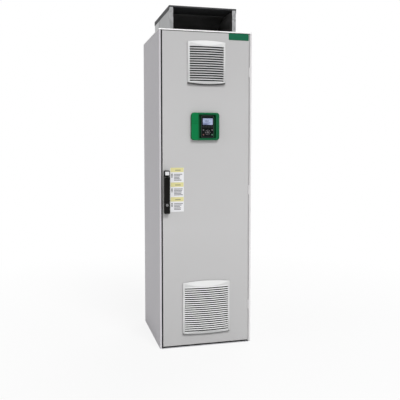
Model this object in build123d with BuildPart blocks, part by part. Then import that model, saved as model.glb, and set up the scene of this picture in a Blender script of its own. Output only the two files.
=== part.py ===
from build123d import *
import math
import os

os.makedirs("parts", exist_ok=True)

# Floor-standing variable frequency drive: a 600 mm wide sheet-steel cabinet with an air hood on its roof.
# All sizes are in millimetres. The origin is on the floor under the middle of the cabinet,
# X runs to the hinge side, Y to the rear, Z up. The door faces -Y.

# ---------------------------------------------------------------- cabinet sizes
cabinet_width = 600.0
cabinet_depth = 600.0
cabinet_height = 2000.0
panel_sheet = 1.5
frame_wall = 2.0
bend_radius = 3.0
rail_width = 36.0
rail_height = 60.0
corner_strip = 12.0
strip_hem = 10.0
hinge_flange_gap = 2.0
hinge_flange_depth = 7.0
rim_height = 5.0
roof_height = 8.0
roof_edge_radius = 3.0
panel_reveal = 3.0
roof_shadow = 1.5
sheet_edge_radius = 1.8

# ---------------------------------------------------------------- door sizes
side_gap = 8.0
bottom_gap = 8.0
top_gap = 2.0
door_sheet = 2.0
door_depth = 22.0
door_hem = 10.0
door_edge_radius = 3.0
seal_gap = 6.0
gasket_width = 9.0
soft_clearance = 0.3
running_clearance = 0.05
loose_clearance = 0.25
cut_corner = 5.0
gasket_inset = 1.0
gasket_edge_radius = 1.5

# ---------------------------------------------------------------- floor fixing
fixing_inset_x = 70.0
fixing_inset_y = 95.0
fixing_hole_radius = 7.0
fixing_margin = 30.0
fixing_plate = 4.0
gland_sheet = 3.0

# ---------------------------------------------------------------- hood sizes
hood_width = 440.0
hood_depth = 520.0
hood_height = 160.0
hood_flange = 25.0
hood_lip = 28.0
hood_front_lip = 10.0
hood_upstand = 24.0
liner_sheet = 2.0
deflector_run = 290.0
air_opening_inset = 20.0
air_opening_length = 330.0
air_opening_margin = 30.0
air_opening_corner = 8.0
seam_strip_width = 14.0
seam_strip_rise = 1.2
seam_margin = 164.0
seam_end_gap = 4.0

# ---------------------------------------------------------------- screw sizes
screw_radius = 2.5
screw_head_radius = 5.5
screw_head_height = 2.5
screw_grip = 6.0
screw_hole_gap = 0.15
rear_screw_rows = 5
rear_screw_margin = 120.0
hood_screw_height = 13.0
hood_screw_margin = 70.0

# ---------------------------------------------------------------- gland plate and mounting plate
mounting_sheet = 3.0
mounting_margin = 10.0

# ---------------------------------------------------------------- grille, keypad and lock places
grille_bezel = 12.5
grille_edge_depth = 11.0
grille_bulge = 13.0
grille_rise = 10.0
grille_lip = 8.0
collar_wall = 2.5
collar_clearance = 0.5
collar_depth = 24.0
mat_thickness = 14.0
grid_bar = 4.0
grille_edge_radius = 3.0
slot_margin = 11.5
slot_share = 0.53
slot_straight = 14.0
slot_rise = 8.0
slot_drop = 3.0
top_grille_size = (243.0, 256.0)
top_grille_drop = 192.0
top_grille_slots = 15
bottom_grille_size = (308.0, 329.0)
bottom_grille_lift = 237.0
bottom_grille_slots = 21
hmi_centre = (-9.5, 1404.0)
hmi_size = (181.0, 172.0)
hmi_corner = 18.0
hmi_edge_radius = 5.0
hmi_depth = 20.0
hmi_floor = 4.0
hmi_left_strip = 47.0
hmi_right_strip = 23.0
hmi_band = 12.0
hmi_groove = (0.8, 0.6)
hmi_groove_pitch = 13.0
hmi_groove_height = 26.0
keypad_centre = (3.5, 1403.0)
keypad_size = (82.0, 137.0)
keypad_corner = 6.0
keypad_depth = 15.0
keypad_connector = (50.0, 24.0)
lock_backset = 23.5
lock_z = 1113.0
spindle_radius = 6.0
gear_module = 1.5
gear_teeth = 12
gear_face = 10.0
gear_backlash = 0.3
rod_width = 6.0
gearbox_size = (35.0, 90.0)
gearbox_depth = 17.0
rod_tip_width = 14.0
rod_tip_depth = 6.0
keeper_height = 14.0
keeper_sheet = 3.0
keeper_gap = 1.0
keeper_margin = 4.0
gear_clearance = 0.4

# ---------------------------------------------------------------- keypad with its screen and keys
key_travel = 0.8
key_stand = 1.5
key_pocket = 3.0
key_end_gap = 0.1
key_edge = 0.6
keypad_edge_radius = 1.5
screen_size = (64.0, 41.0)
screen_offset = (1.5, 31.0)
screen_thickness = 1.5
screen_corner = 2.0
wheel_offset = (1.5, -36.0)
wheel_radius = 19.5
wheel_groove = 1.2
function_keys = 4
ok_radius = 7.0
function_key_size = (15.0, 8.0)
function_key_corner = 2.0
function_key_pitch = 18.0
function_key_drop = -2.0
round_key_radius = 5.0
round_key_spread = (28.0, 15.0)

# ---------------------------------------------------------------- nameplate
nameplate_size = (132.0, 41.0)
nameplate_thickness = 2.0
nameplate_corner = 5.0
nameplate_edge_radius = 0.8
nameplate_inset_x = 2.0
nameplate_inset_z = 1.5

# ---------------------------------------------------------------- swing handle
handle_width = 35.0
handle_bottom = 862.0
handle_top = 1131.0
handle_plate = 6.0
handle_depth = 30.0
handle_corner = 6.0
handle_edge_radius = 3.0
base_edge_radius = 2.5
head_reach = 15.0
housing_top = 930.0
lever_gap = 1.0
lever_end_gap = 1.5
lever_pin_radius = 2.5
lever_pin_z = 1085.0
lever_pin_inset = 1.0
tongue_width = 10.0
tongue_radius = 6.0
head_gap = 0.6
cylinder_radius = 8.5
cylinder_z = 916.0
cylinder_stand = 1.0
cylinder_edge = 0.6
key_slot = (2.5, 9.0)
key_slot_depth = 6.0
spindle_end_gap = 0.5

# ---------------------------------------------------------------- lock gearbox and rods
rod_tip_rise = 18.0
rack_overlap = 12.0
rack_root_overlap = 0.5
rack_first_tooth = 1.5
gearbox_corner = 4.0
guide_half_height = 8.0
guide_offset = 640.0

# ---------------------------------------------------------------- door stiffeners and rod guides
stiffener_inset = 75.0
stiffener_width = 20.0
stiffener_end = 40.0
stiffener_holes = 24
stiffener_hole = (8.0, 22.0)
guide_reach = 4.0
guide_wall = 3.0

# ---------------------------------------------------------------- door hinges
hinge_heights = (250.0, 1000.0, 1750.0)
hinge_recess = 2.5
knuckle_radius = 3.6
hinge_pin_radius = 2.2
hinge_length = 60.0
hinge_middle = 30.0
hinge_leaf = 1.6
hinge_end_gap = 0.25

# ---------------------------------------------------------------- power module
module_width = 440.0
module_depth = 330.0
module_bottom = 1150.0
module_height = 640.0
module_sheet = 2.0
module_corner = 6.0
airway_width = 424.0
airway_front_gap = 120.0
airway_rear_gap = 12.0
cover_depth = 20.0
vent_count = 10
vent_size = (300.0, 5.0)
vent_pitch = 11.0
vent_margin = 80.0

# ---------------------------------------------------------------- heatsink and what is bolted to it
heatsink_size = (370.0, 520.0)
heatsink_base = 12.0
heatsink_fin = 3.0
heatsink_fins = 22
heatsink_fin_depth = 90.0
power_module_size = (89.0, 250.0, 38.0)
power_module_pitch = 125.0
power_module_rise = 150.0
power_module_corner = 5.0
power_module_lid = (59.0, 190.0, 8.0)
bar_size = (30.0, 6.0)
capacitor_drop = 110.0
capacitor_radius = 36.0
capacitor_length = 110.0
capacitor_columns = 4
capacitor_rows = 2
capacitor_pitch = 86.0
capacitor_stud_radius = 7.0
capacitor_stud_height = 6.0
capacitor_stud_pitch = 22.0

# ---------------------------------------------------------------- fan tray and rotor
tray_width = 300.0
tray_height = 62.0
tray_plate = 6.0
tray_corner = 8.0
fan_radius = 82.0
fan_hub_radius = 30.0
fan_tip_gap = 2.0
fan_blades = 7
fan_spindle_radius = 5.0
fan_spindle_drop = 8.0
fan_rotor_gap = 1.0
fan_rotor_height = 36.0
fan_strut = 12.0
fan_struts = 3
hub_edge = 3.0
hub_overlap = 2.0
blade_thickness = 2.5
blade_root_chord = 30.0
blade_root_angle = 42.0
blade_tip_chord = 46.0
blade_tip_angle = 24.0

# ---------------------------------------------------------------- control unit
control_size = (200.0, 270.0)
control_depth = 55.0
control_top_slope = (0.7, 30.0)
control_bottom_slope = (0.5, 70.0)
control_edge_radius = 5.0
control_recess = (150.0, 120.0)
control_recess_rise = 30.0
control_recess_corner = 6.0
control_recess_depth = 2.0

# ---------------------------------------------------------------- terminals, fuses and bars
phase_x = 62.0
phase_pitch = 66.0
terminal_bottom = 470.0
terminal_height = 70.0
terminal_wall = 6.0
terminal_wall_rise = 44.0
bar_start = 12.0
bar_overlap = 90.0
bolt_radius = 9.0
bolt_height = 7.0
fuse_bottom = 700.0
fuse_length = 110.0
fuse_width = 50.0
fuse_corner = 8.0
fuse_body_inset = 10.0
fuse_tag = 30.0
fuse_tag_sheet = 4.0
fuse_tag_inset = 2.0
fuse_bolt_radius = 8.0
fuse_bolt_height = 6.0

# ---------------------------------------------------------------- line reactor
core_width = 300.0
core_height = 230.0
core_depth = 90.0
core_limb = 50.0
core_bottom = 120.0
core_feet = 50.0
foot_sheet = 4.0
foot_width = 30.0
foot_margin = 10.0
coil_wall = 20.0
coil_gap = 2.0
coil_clearance = 0.2
coil_corner = 12.0

# ---------------------------------------------------------------- earth bar
earth_z = 410.0
earth_length = 420.0
earth_height = 30.0
earth_thickness = 6.0
earth_post = 24.0
earth_holes = 10
earth_hole_radius = 4.5
earth_post_size = (14.0, 20.0)

# ---------------------------------------------------------------- derived faces of the cabinet
half_width = cabinet_width / 2
half_depth = cabinet_depth / 2
front = -half_depth
door_back = front + door_depth
seal_face = door_back + seal_gap
panel_inside = half_width - panel_sheet
rail_inside = panel_inside - rail_width
rear_inside = half_depth - panel_sheet
rear_rail_face = rear_inside - rail_width
front_rail_rear = seal_face + rail_width
roof_underside = cabinet_height - panel_sheet
top_rail_underside = roof_underside - rail_height
roof_edge = cabinet_height - roof_height
strip_inner = half_width - corner_strip
door_side = strip_inner - side_gap
door_bottom = rim_height + bottom_gap
door_top = roof_edge - top_gap
door_middle = (door_bottom + door_top) / 2
door_width = 2 * door_side
door_height = door_top - door_bottom
fixing_pitch_x = cabinet_width - 2 * fixing_inset_x
fixing_pitch_y = cabinet_depth - 2 * fixing_inset_y
top_grille_height = door_top - top_grille_drop
bottom_grille_height = door_bottom + bottom_grille_lift
stiffener_x = door_side - stiffener_inset
lock_x = lock_backset - door_side

# ---------------------------------------------------------------- derived places of the rod lock
pitch_radius = gear_module * gear_teeth / 2
gear_middle = front + door_sheet + gearbox_depth / 2
rod_front = gear_middle - gear_face / 2
rod_rear = gear_middle + gear_face / 2
tip_x = (lock_x + rod_width / 2, lock_x + rod_width / 2 + rod_tip_width)
tip_front = seal_face + keeper_sheet + keeper_gap
tip_rear = tip_front + rod_tip_depth


def plan_at(z):
    """Level drawing plane at height z."""
    return Plane.XY.offset(z)


def keeper(root_z, free_z):
    """A bent catch under or over a frame ring, behind whose plate the tip of a lock rod slides."""
    keeper_x = (tip_x[0] - keeper_margin, tip_x[1] + keeper_margin)
    bend_z = root_z + math.copysign(keeper_sheet, free_z - root_z)
    plate(keeper_x, (seal_face, seal_face + keeper_sheet), sorted((root_z, free_z)))
    plate(keeper_x, (seal_face, front_rail_rear), sorted((root_z, bend_z)))


def front_at(y):
    """Upright plane at depth y, drawn in X and Z, that extrudes towards the front."""
    return Plane.XZ.offset(-y)


def side_at(x):
    """Upright plane at x, drawn in Y and Z, that extrudes towards +X."""
    return Plane.YZ.offset(x)


def plate(x, y, z, mode=Mode.ADD):
    """A square-cornered plate or bar between pairs of X, Y and Z values, in the open part."""
    with BuildSketch(plan_at(z[0])) as outline:
        with Locations(((x[0] + x[1]) / 2, (y[0] + y[1]) / 2)):
            Rectangle(x[1] - x[0], y[1] - y[0])
    extrude(outline.sketch, amount=z[1] - z[0], mode=mode)


def folded_sheet(points, sheet, radius, plane, length, side=Side.RIGHT):
    """A folded sheet-metal section of one thickness, extruded to its length, in the open part."""
    with BuildSketch(plane) as section:
        with BuildLine():
            outer_line = FilletPolyline(*points, radius=radius)
            offset(outer_line, amount=sheet, side=side)
        make_face()
    extrude(section.sketch, amount=length)


def disc(plane, centre, radius, length, mode=Mode.ADD):
    """A round bar or bore on a drawing plane, in the open part."""
    with BuildSketch(plane) as circle:
        with Locations(centre):
            Circle(radius)
    extrude(circle.sketch, amount=length, mode=mode)


def slab(plane, centre, size, corner, length, mode=Mode.ADD):
    """A round-cornered block or pocket on a drawing plane, in the open part."""
    with BuildSketch(plane) as outline:
        with Locations(centre):
            RectangleRounded(size[0], size[1], corner)
    extrude(outline.sketch, amount=length, mode=mode)


# ---------------------------------------------------------------- base frame
# Inverted channel rails welded into a ring, a low rim under the door, and drilled corner plates
# that bolt to the floor.
with BuildPart() as base_frame:
    ring_middle = (seal_face + rear_inside) / 2
    ring_depth = rear_inside - seal_face
    inner_middle = (front_rail_rear + rear_rail_face) / 2
    inner_depth = rear_rail_face - front_rail_rear
    with BuildSketch(plan_at(0)):
        with Locations((0, ring_middle)):
            Rectangle(2 * panel_inside, ring_depth)
        with Locations((0, inner_middle)):
            Rectangle(2 * rail_inside, inner_depth, mode=Mode.SUBTRACT)
    extrude(amount=rail_height)
    with BuildSketch(plan_at(0)):
        with Locations((0, ring_middle)):
            Rectangle(2 * (panel_inside - frame_wall), ring_depth - 2 * frame_wall)
        with Locations((0, inner_middle)):
            Rectangle(2 * (rail_inside + frame_wall), inner_depth + 2 * frame_wall, mode=Mode.SUBTRACT)
    extrude(amount=rail_height - frame_wall, mode=Mode.SUBTRACT)
    plate((-strip_inner, strip_inner), (front, seal_face), (0, rim_height))
    plate((frame_wall - strip_inner, strip_inner - frame_wall), (front + frame_wall, seal_face),
          (0, rim_height - frame_wall), mode=Mode.SUBTRACT)
    for end in (-1, 1):
        plate_x = sorted((end * rail_inside, end * (fixing_pitch_x / 2 - fixing_margin)))
        plate(plate_x, (front_rail_rear, -fixing_pitch_y / 2 + fixing_margin), (0, fixing_plate))
        plate(plate_x, (fixing_pitch_y / 2 - fixing_margin, rear_rail_face), (0, fixing_plate))
    with BuildSketch(plan_at(0)):
        with GridLocations(fixing_pitch_x, fixing_pitch_y, 2, 2):
            Circle(fixing_hole_radius)
    extrude(amount=fixing_plate, mode=Mode.SUBTRACT)
    keeper(rail_height, rail_height + keeper_height)
base_frame.part.label = "base_frame"
export_step(base_frame.part, "parts/base_frame.step")

# ---------------------------------------------------------------- top frame
with BuildPart() as top_frame:
    with BuildSketch(plan_at(top_rail_underside)):
        with Locations((0, ring_middle)):
            Rectangle(2 * panel_inside, ring_depth)
        with Locations((0, inner_middle)):
            Rectangle(2 * rail_inside, inner_depth, mode=Mode.SUBTRACT)
    extrude(amount=rail_height)
    with BuildSketch(plan_at(top_rail_underside + frame_wall)):
        with Locations((0, ring_middle)):
            Rectangle(2 * (panel_inside - frame_wall), ring_depth - 2 * frame_wall)
        with Locations((0, inner_middle)):
            Rectangle(2 * (rail_inside + frame_wall), inner_depth + 2 * frame_wall, mode=Mode.SUBTRACT)
    extrude(amount=rail_height - frame_wall, mode=Mode.SUBTRACT)
    keeper(top_rail_underside, top_rail_underside - keeper_height)
top_frame.part.label = "top_frame"
export_step(top_frame.part, "parts/top_frame.step")

# ---------------------------------------------------------------- rear panel screws
# One size of pan-head screw holds the rear panel and the hood.
screw_hole_radius = screw_radius + screw_hole_gap
rear_screw_x = panel_inside - rail_width / 2
rear_screw_pitch = (cabinet_height - 2 * rear_screw_margin) / (rear_screw_rows - 1)
hood_middle = half_depth - hood_depth / 2
hood_screw_pitch = hood_depth - 2 * hood_screw_margin


def rear_screw_places():
    """Centres of the rear panel's screws, drawn in X and Z."""
    return GridLocations(2 * rear_screw_x, rear_screw_pitch, 2, rear_screw_rows)


def hood_screw_places():
    """Centres of the hood's side screws, drawn in Y and Z."""
    return GridLocations(hood_screw_pitch, 0, 2, 1)


# ---------------------------------------------------------------- corner uprights
# Square tubes between the two rings. The front pair carry a rain lip beside the door.
for side_name, hand in (("left", -1), ("right", 1)):
    outer_x = hand * panel_inside
    inner_x = hand * rail_inside
    tube_x = (outer_x + inner_x) / 2
    with BuildPart() as front_upright:
        with BuildSketch(plan_at(rail_height)):
            with Locations((tube_x, (seal_face + front_rail_rear) / 2)):
                Rectangle(rail_width, rail_width)
                Rectangle(rail_width - 2 * frame_wall, rail_width - 2 * frame_wall, mode=Mode.SUBTRACT)
            with Locations((hand * (strip_inner + frame_wall / 2), (front + strip_hem + seal_face) / 2)):
                Rectangle(frame_wall, seal_face - front - strip_hem)
        extrude(amount=top_rail_underside - rail_height)
    front_upright.part.label = f"front_{side_name}_upright"
    export_step(front_upright.part, f"parts/front_{side_name}_upright.step")

    with BuildPart() as rear_upright:
        with BuildSketch(plan_at(rail_height)):
            with Locations((tube_x, (rear_inside + rear_rail_face) / 2)):
                Rectangle(rail_width, rail_width)
                Rectangle(rail_width - 2 * frame_wall, rail_width - 2 * frame_wall, mode=Mode.SUBTRACT)
        extrude(amount=top_rail_underside - rail_height)
        with BuildSketch(front_at(rear_inside)):
            with Locations((0, cabinet_height / 2)):
                with rear_screw_places():
                    Circle(screw_hole_radius)
        extrude(amount=frame_wall, mode=Mode.SUBTRACT)
    rear_upright.part.label = f"rear_{side_name}_upright"
    export_step(rear_upright.part, f"parts/rear_{side_name}_upright.step")

# ---------------------------------------------------------------- side panels
# Each panel is one folded sheet: its front edge wraps the corner and hems back beside the door. On the
# hinge side the hem ends in a flange that closes most of the gap, with notches for the hinges and the rim.
panel_length = roof_edge - roof_shadow - panel_reveal
with BuildPart() as left_side_panel:
    folded_sheet([(-strip_inner, front + strip_hem), (-strip_inner, front), (-half_width, front),
                  (-half_width, rear_inside)], panel_sheet, bend_radius, plan_at(panel_reveal), panel_length)
left_side_panel.part.label = "left_side_panel"
export_step(left_side_panel.part, "parts/left_side_panel.step")

with BuildPart() as right_side_panel:
    flange_x = door_side + hinge_flange_gap
    flange_y = front + hinge_flange_depth
    folded_sheet([(flange_x, flange_y), (strip_inner, flange_y), (strip_inner, front), (half_width, front),
                  (half_width, rear_inside)], panel_sheet, bend_radius, plan_at(panel_reveal), panel_length,
                 Side.LEFT)
    notches = [(hinge_z - hinge_length / 2 - loose_clearance, hinge_z + hinge_length / 2 + loose_clearance)
               for hinge_z in hinge_heights]
    for notch_z in [(panel_reveal, bottom_gap)] + notches:
        plate((door_side, strip_inner), (flange_y - bend_radius, flange_y + bend_radius), notch_z,
              mode=Mode.SUBTRACT)
right_side_panel.part.label = "right_side_panel"
export_step(right_side_panel.part, "parts/right_side_panel.step")

# ---------------------------------------------------------------- rear panel
with BuildPart() as rear_panel:
    with BuildSketch(front_at(half_depth)):
        with Locations((0, (panel_reveal + roof_edge - roof_shadow) / 2)):
            Rectangle(cabinet_width, roof_edge - roof_shadow - panel_reveal)
        with Locations((0, cabinet_height / 2)):
            with rear_screw_places():
                Circle(screw_hole_radius, mode=Mode.SUBTRACT)
    extrude(amount=panel_sheet)
rear_panel.part.label = "rear_panel"
export_step(rear_panel.part, "parts/rear_panel.step")

# ---------------------------------------------------------------- roof panel
# A shallow folded tray turned over the top frame, with an air opening and a side upstand for the hood.
hood_front = half_depth - hood_depth
hood_inside = hood_width / 2 - 2 * panel_sheet
with BuildPart() as roof_panel:
    with BuildSketch(plan_at(roof_edge)):
        Rectangle(cabinet_width, cabinet_depth)
    extrude(amount=roof_height)
    fillet(roof_panel.edges().group_by(Axis.Z)[-1], roof_edge_radius)
    plate((-panel_inside, panel_inside), (front + panel_sheet, rear_inside), (roof_edge, roof_underside),
          mode=Mode.SUBTRACT)
    for hand in (-1, 1):
        upstand_x = sorted((hand * hood_inside, hand * (hood_inside - panel_sheet)))
        plate(upstand_x, (hood_front + hood_flange, rear_inside - hood_flange),
              (roof_underside, cabinet_height + hood_upstand))
    with BuildSketch(plan_at(roof_underside)):
        with Locations((0, half_depth - air_opening_margin - air_opening_length / 2)):
            RectangleRounded(hood_width - 2 * air_opening_inset, air_opening_length, air_opening_corner)
    extrude(amount=roof_height, mode=Mode.SUBTRACT)
    with BuildSketch(side_at(-hood_width / 2)):
        with Locations((hood_middle, cabinet_height + hood_screw_height)):
            with hood_screw_places():
                Circle(screw_hole_radius)
    extrude(amount=hood_width, mode=Mode.SUBTRACT)
roof_panel.part.label = "roof_panel"
export_step(roof_panel.part, "parts/roof_panel.step")

# ---------------------------------------------------------------- gland plate and mounting plate
mounting_face = rear_rail_face - mounting_sheet
with BuildPart() as gland_plate:
    with BuildSketch(plan_at(rail_height - gland_sheet)):
        with Locations((0, inner_middle)):
            Rectangle(2 * rail_inside - 2 * loose_clearance, inner_depth - 2 * loose_clearance)
    extrude(amount=gland_sheet)
gland_plate.part.label = "gland_plate"
export_step(gland_plate.part, "parts/gland_plate.step")

with BuildPart() as mounting_plate:
    with BuildSketch(front_at(rear_rail_face)):
        with Locations((0, cabinet_height / 2)):
            RectangleRounded(2 * panel_inside - 2 * mounting_margin,
                             top_rail_underside - rail_height - 2 * mounting_margin, mounting_margin)
    extrude(amount=mounting_sheet)
mounting_plate.part.label = "mounting_plate"
export_step(mounting_plate.part, "parts/mounting_plate.step")

# ---------------------------------------------------------------- hood
# Galvanised sheet duct that throws the cooling air forward over the door: a U-shaped body with front
# flanges, a lipped cover, and a dark liner whose curved deflector turns the rising air.
hood_top = cabinet_height + hood_height
with BuildPart() as hood_body:
    body_x = hood_width / 2 - panel_sheet
    body_rear = half_depth - panel_sheet
    folded_sheet([(-body_x + hood_flange, hood_front), (-body_x, hood_front), (-body_x, body_rear),
                  (body_x, body_rear), (body_x, hood_front), (body_x - hood_flange, hood_front)],
                 panel_sheet, bend_radius, plan_at(cabinet_height), hood_height - panel_sheet)
    for hand in (-1, 1):
        strip_x = sorted((hand * body_x, hand * (body_x + seam_strip_rise)))
        seam_y = half_depth - seam_margin
        plate(strip_x, (seam_y - seam_strip_width / 2, seam_y + seam_strip_width / 2),
              (cabinet_height + seam_end_gap, hood_top - hood_lip - seam_end_gap))
    with BuildSketch(side_at(-body_x)):
        with Locations((hood_middle, cabinet_height + hood_screw_height)):
            with hood_screw_places():
                Circle(screw_hole_radius)
    extrude(amount=2 * body_x, mode=Mode.SUBTRACT)
hood_body.part.label = "hood_body"
export_step(hood_body.part, "parts/hood_body.step")

with BuildPart() as hood_cover:
    cover_front = hood_front - panel_sheet
    with BuildSketch(plan_at(hood_top - hood_lip)):
        with Locations((0, (cover_front + half_depth) / 2)):
            Rectangle(hood_width, half_depth - cover_front)
    extrude(amount=hood_lip)
    fillet(hood_cover.edges().group_by(Axis.Z)[-1], sheet_edge_radius)
    plate((-body_x, body_x), (hood_front, body_rear), (hood_top - hood_lip, hood_top - panel_sheet),
          mode=Mode.SUBTRACT)
    plate((-hood_width / 2, hood_width / 2), (cover_front, hood_front),
          (hood_top - hood_lip, hood_top - hood_front_lip), mode=Mode.SUBTRACT)
hood_cover.part.label = "hood_cover"
export_step(hood_cover.part, "parts/hood_cover.step")

with BuildPart() as hood_liner:
    liner_outer = hood_inside - panel_sheet - loose_clearance
    liner_rear = body_rear - panel_sheet - loose_clearance
    liner_front = hood_front + panel_sheet + loose_clearance
    liner_top = hood_top - panel_sheet - loose_clearance
    for hand in (-1, 1):
        cheek_x = sorted((hand * liner_outer, hand * (liner_outer - liner_sheet)))
        plate(cheek_x, (liner_front, liner_rear), (cabinet_height, liner_top))
    with BuildSketch(side_at(-liner_outer)):
        with BuildLine():
            deflector_foot = cabinet_height + liner_sheet
            rise = liner_top - deflector_foot
            deflector = RadiusArc((liner_rear, deflector_foot), (liner_rear - deflector_run, liner_top),
                                  -(deflector_run ** 2 + rise ** 2) / (2 * rise))
            offset(deflector, amount=liner_sheet, side=Side.LEFT)
        make_face()
    extrude(amount=2 * liner_outer)
hood_liner.part.label = "hood_liner"
export_step(hood_liner.part, "parts/hood_liner.step")

# ---------------------------------------------------------------- screws of the rear panel and the hood
with BuildPart() as panel_screws:
    with BuildSketch(front_at(half_depth)):
        with Locations((0, cabinet_height / 2)):
            with rear_screw_places():
                Circle(screw_head_radius)
    extrude(amount=-screw_head_height)
    with BuildSketch(front_at(half_depth)):
        with Locations((0, cabinet_height / 2)):
            with rear_screw_places():
                Circle(screw_radius)
    extrude(amount=screw_grip)
    for hand in (-1, 1):
        with BuildSketch(side_at(hand * body_x)):
            with Locations((hood_middle, cabinet_height + hood_screw_height)):
                with hood_screw_places():
                    Circle(screw_head_radius)
        extrude(amount=hand * screw_head_height)
        with BuildSketch(side_at(hand * body_x)):
            with Locations((hood_middle, cabinet_height + hood_screw_height)):
                with hood_screw_places():
                    Circle(screw_radius)
        extrude(amount=-hand * 2 * panel_sheet)
panel_screws.part.label = "panel_screws"
export_step(panel_screws.part, "parts/panel_screws.step")

# ---------------------------------------------------------------- grille, keypad and lock places
grilles = (
    ("top", top_grille_size, top_grille_height, top_grille_slots),
    ("bottom", bottom_grille_size, bottom_grille_height, bottom_grille_slots),
)


rack_addendum = 0.7 * gear_module
rack_dedendum = 0.95 * gear_module

# ---------------------------------------------------------------- door panel
# A folded pan with rounded front edges and an inner hem, cut out for the grilles, keypad and lock.
with BuildPart() as door_panel:
    with BuildSketch(front_at(front)):
        with Locations((0, door_middle)):
            Rectangle(door_width, door_height)
    extrude(amount=-door_depth)
    fillet(door_panel.edges().group_by(Axis.Y)[0], door_edge_radius)
    offset(amount=-door_sheet, openings=door_panel.faces().sort_by(Axis.Y)[-1])
    with BuildSketch(front_at(door_back)):
        with Locations((0, door_middle)):
            Rectangle(door_width, door_height)
            Rectangle(door_width - 2 * door_hem, door_height - 2 * door_hem, mode=Mode.SUBTRACT)
    extrude(amount=door_sheet)
    with BuildSketch(front_at(front)):
        for grille_name, grille_size, grille_z, slot_count in grilles:
            cut_side = grille_size[0] - 2 * grille_bezel
            with Locations((0, grille_z)):
                RectangleRounded(cut_side, cut_side, cut_corner)
        with Locations(keypad_centre):
            RectangleRounded(keypad_connector[0], keypad_connector[1], cut_corner)
        with Locations((lock_x, lock_z)):
            Circle(spindle_radius + loose_clearance)
    extrude(amount=-door_sheet, mode=Mode.SUBTRACT)
door_panel.part.label = "door_panel"
export_step(door_panel.part, "parts/door_panel.step")

# ---------------------------------------------------------------- door gasket
with BuildPart() as door_gasket:
    with BuildSketch(front_at(door_back)):
        with Locations((0, door_middle)):
            gasket_side = gasket_inset + gasket_width
            Rectangle(door_width - 2 * gasket_inset, door_height - 2 * gasket_inset)
            Rectangle(door_width - 2 * gasket_side, door_height - 2 * gasket_side, mode=Mode.SUBTRACT)
    extrude(amount=soft_clearance - seal_gap)
    fillet(door_gasket.edges().group_by(Axis.Y)[-1], gasket_edge_radius)
door_gasket.part.label = "door_gasket"
export_step(door_gasket.part, "parts/door_gasket.step")

# ---------------------------------------------------------------- louvred grilles and filter mats
# Each grille is one bowed moulding whose upper and lower bands slope back to a thin lip. Its louvres go
# right through: the slots run straight in and then rise behind the slats, so that rain drains forward.
# A square collar passes through the door, and a coarse grid at its rear end holds the filter mat.
for grille_name, grille_size, grille_z, slot_count in grilles:
    half_w = grille_size[0] / 2
    half_h = grille_size[1] / 2
    full_h = half_h + grille_rise
    edge_y = front - grille_edge_depth
    crown_y = edge_y - grille_bulge
    collar_side = grille_size[0] - 2 * grille_bezel - 2 * collar_clearance
    window_side = collar_side - 2 * collar_wall
    collar_rear = front + collar_depth
    slot_field = grille_size[0] - 2 * slot_margin
    slot_pitch = slot_field / slot_count
    slot_opening = slot_pitch * slot_share
    with BuildPart() as grille:
        with BuildSketch(plan_at(grille_z - full_h)):
            with BuildLine():
                ThreePointArc((-half_w, edge_y), (0, crown_y), (half_w, edge_y))
                Polyline((half_w, edge_y), (half_w, front), (-half_w, front), (-half_w, edge_y))
            make_face()
        extrude(amount=2 * full_h)
        bowed_face = grille.faces().filter_by(GeomType.CYLINDER)[0]
        fillet(bowed_face.edges().filter_by(Axis.Z), grille_edge_radius)
        with BuildSketch(front_at(front)):
            with BuildLine():
                ThreePointArc((-half_w, grille_z + half_h), (0, grille_z + full_h),
                              (half_w, grille_z + half_h))
                Line((half_w, grille_z + half_h), (half_w, grille_z - half_h))
                ThreePointArc((half_w, grille_z - half_h), (0, grille_z - full_h),
                              (-half_w, grille_z - half_h))
                Line((-half_w, grille_z - half_h), (-half_w, grille_z + half_h))
            make_face()
        extrude(amount=front - crown_y, mode=Mode.INTERSECT)
        field_z = grille_z - slot_drop
        with BuildSketch(side_at(0)):
            Polygon((front, grille_z - full_h), (front - grille_lip, grille_z - full_h),
                    (crown_y, field_z - slot_field / 2), (crown_y, field_z + slot_field / 2),
                    (front - grille_lip, grille_z + full_h), (front, grille_z + full_h), align=None)
        extrude(amount=half_w, both=True, mode=Mode.INTERSECT)
        with BuildSketch(side_at(0)):
            with Locations((crown_y, field_z - slot_rise / 2 - slot_opening / 2)):
                with GridLocations(0, slot_pitch, 1, slot_count):
                    Polygon((-slot_straight, 0), (slot_straight, 0), (front - crown_y, slot_rise),
                            (front - crown_y, slot_rise + slot_opening), (slot_straight, slot_opening),
                            (-slot_straight, slot_opening), align=None)
        extrude(amount=slot_field / 2, both=True, mode=Mode.SUBTRACT)
        with BuildSketch(front_at(front)):
            with Locations((0, grille_z)):
                RectangleRounded(collar_side, collar_side, cut_corner - collar_clearance)
                Rectangle(window_side, window_side, mode=Mode.SUBTRACT)
        extrude(amount=-collar_depth)
        with BuildSketch(front_at(collar_rear)):
            with Locations((0, grille_z)):
                with GridLocations(window_side / 4, 0, 3, 1):
                    Rectangle(grid_bar, window_side)
                with GridLocations(0, window_side / 4, 1, 3):
                    Rectangle(window_side, grid_bar)
        extrude(amount=grid_bar)
    grille.part.label = f"{grille_name}_grille"
    export_step(grille.part, f"parts/{grille_name}_grille.step")

    with BuildPart() as filter_mat:
        with BuildSketch(front_at(collar_rear - grid_bar - soft_clearance)):
            with Locations((0, grille_z)):
                Rectangle(window_side - 2 * soft_clearance, window_side - 2 * soft_clearance)
        extrude(amount=mat_thickness)
    filter_mat.part.label = f"{grille_name}_filter"
    export_step(filter_mat.part, f"parts/{grille_name}_filter.step")

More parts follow.
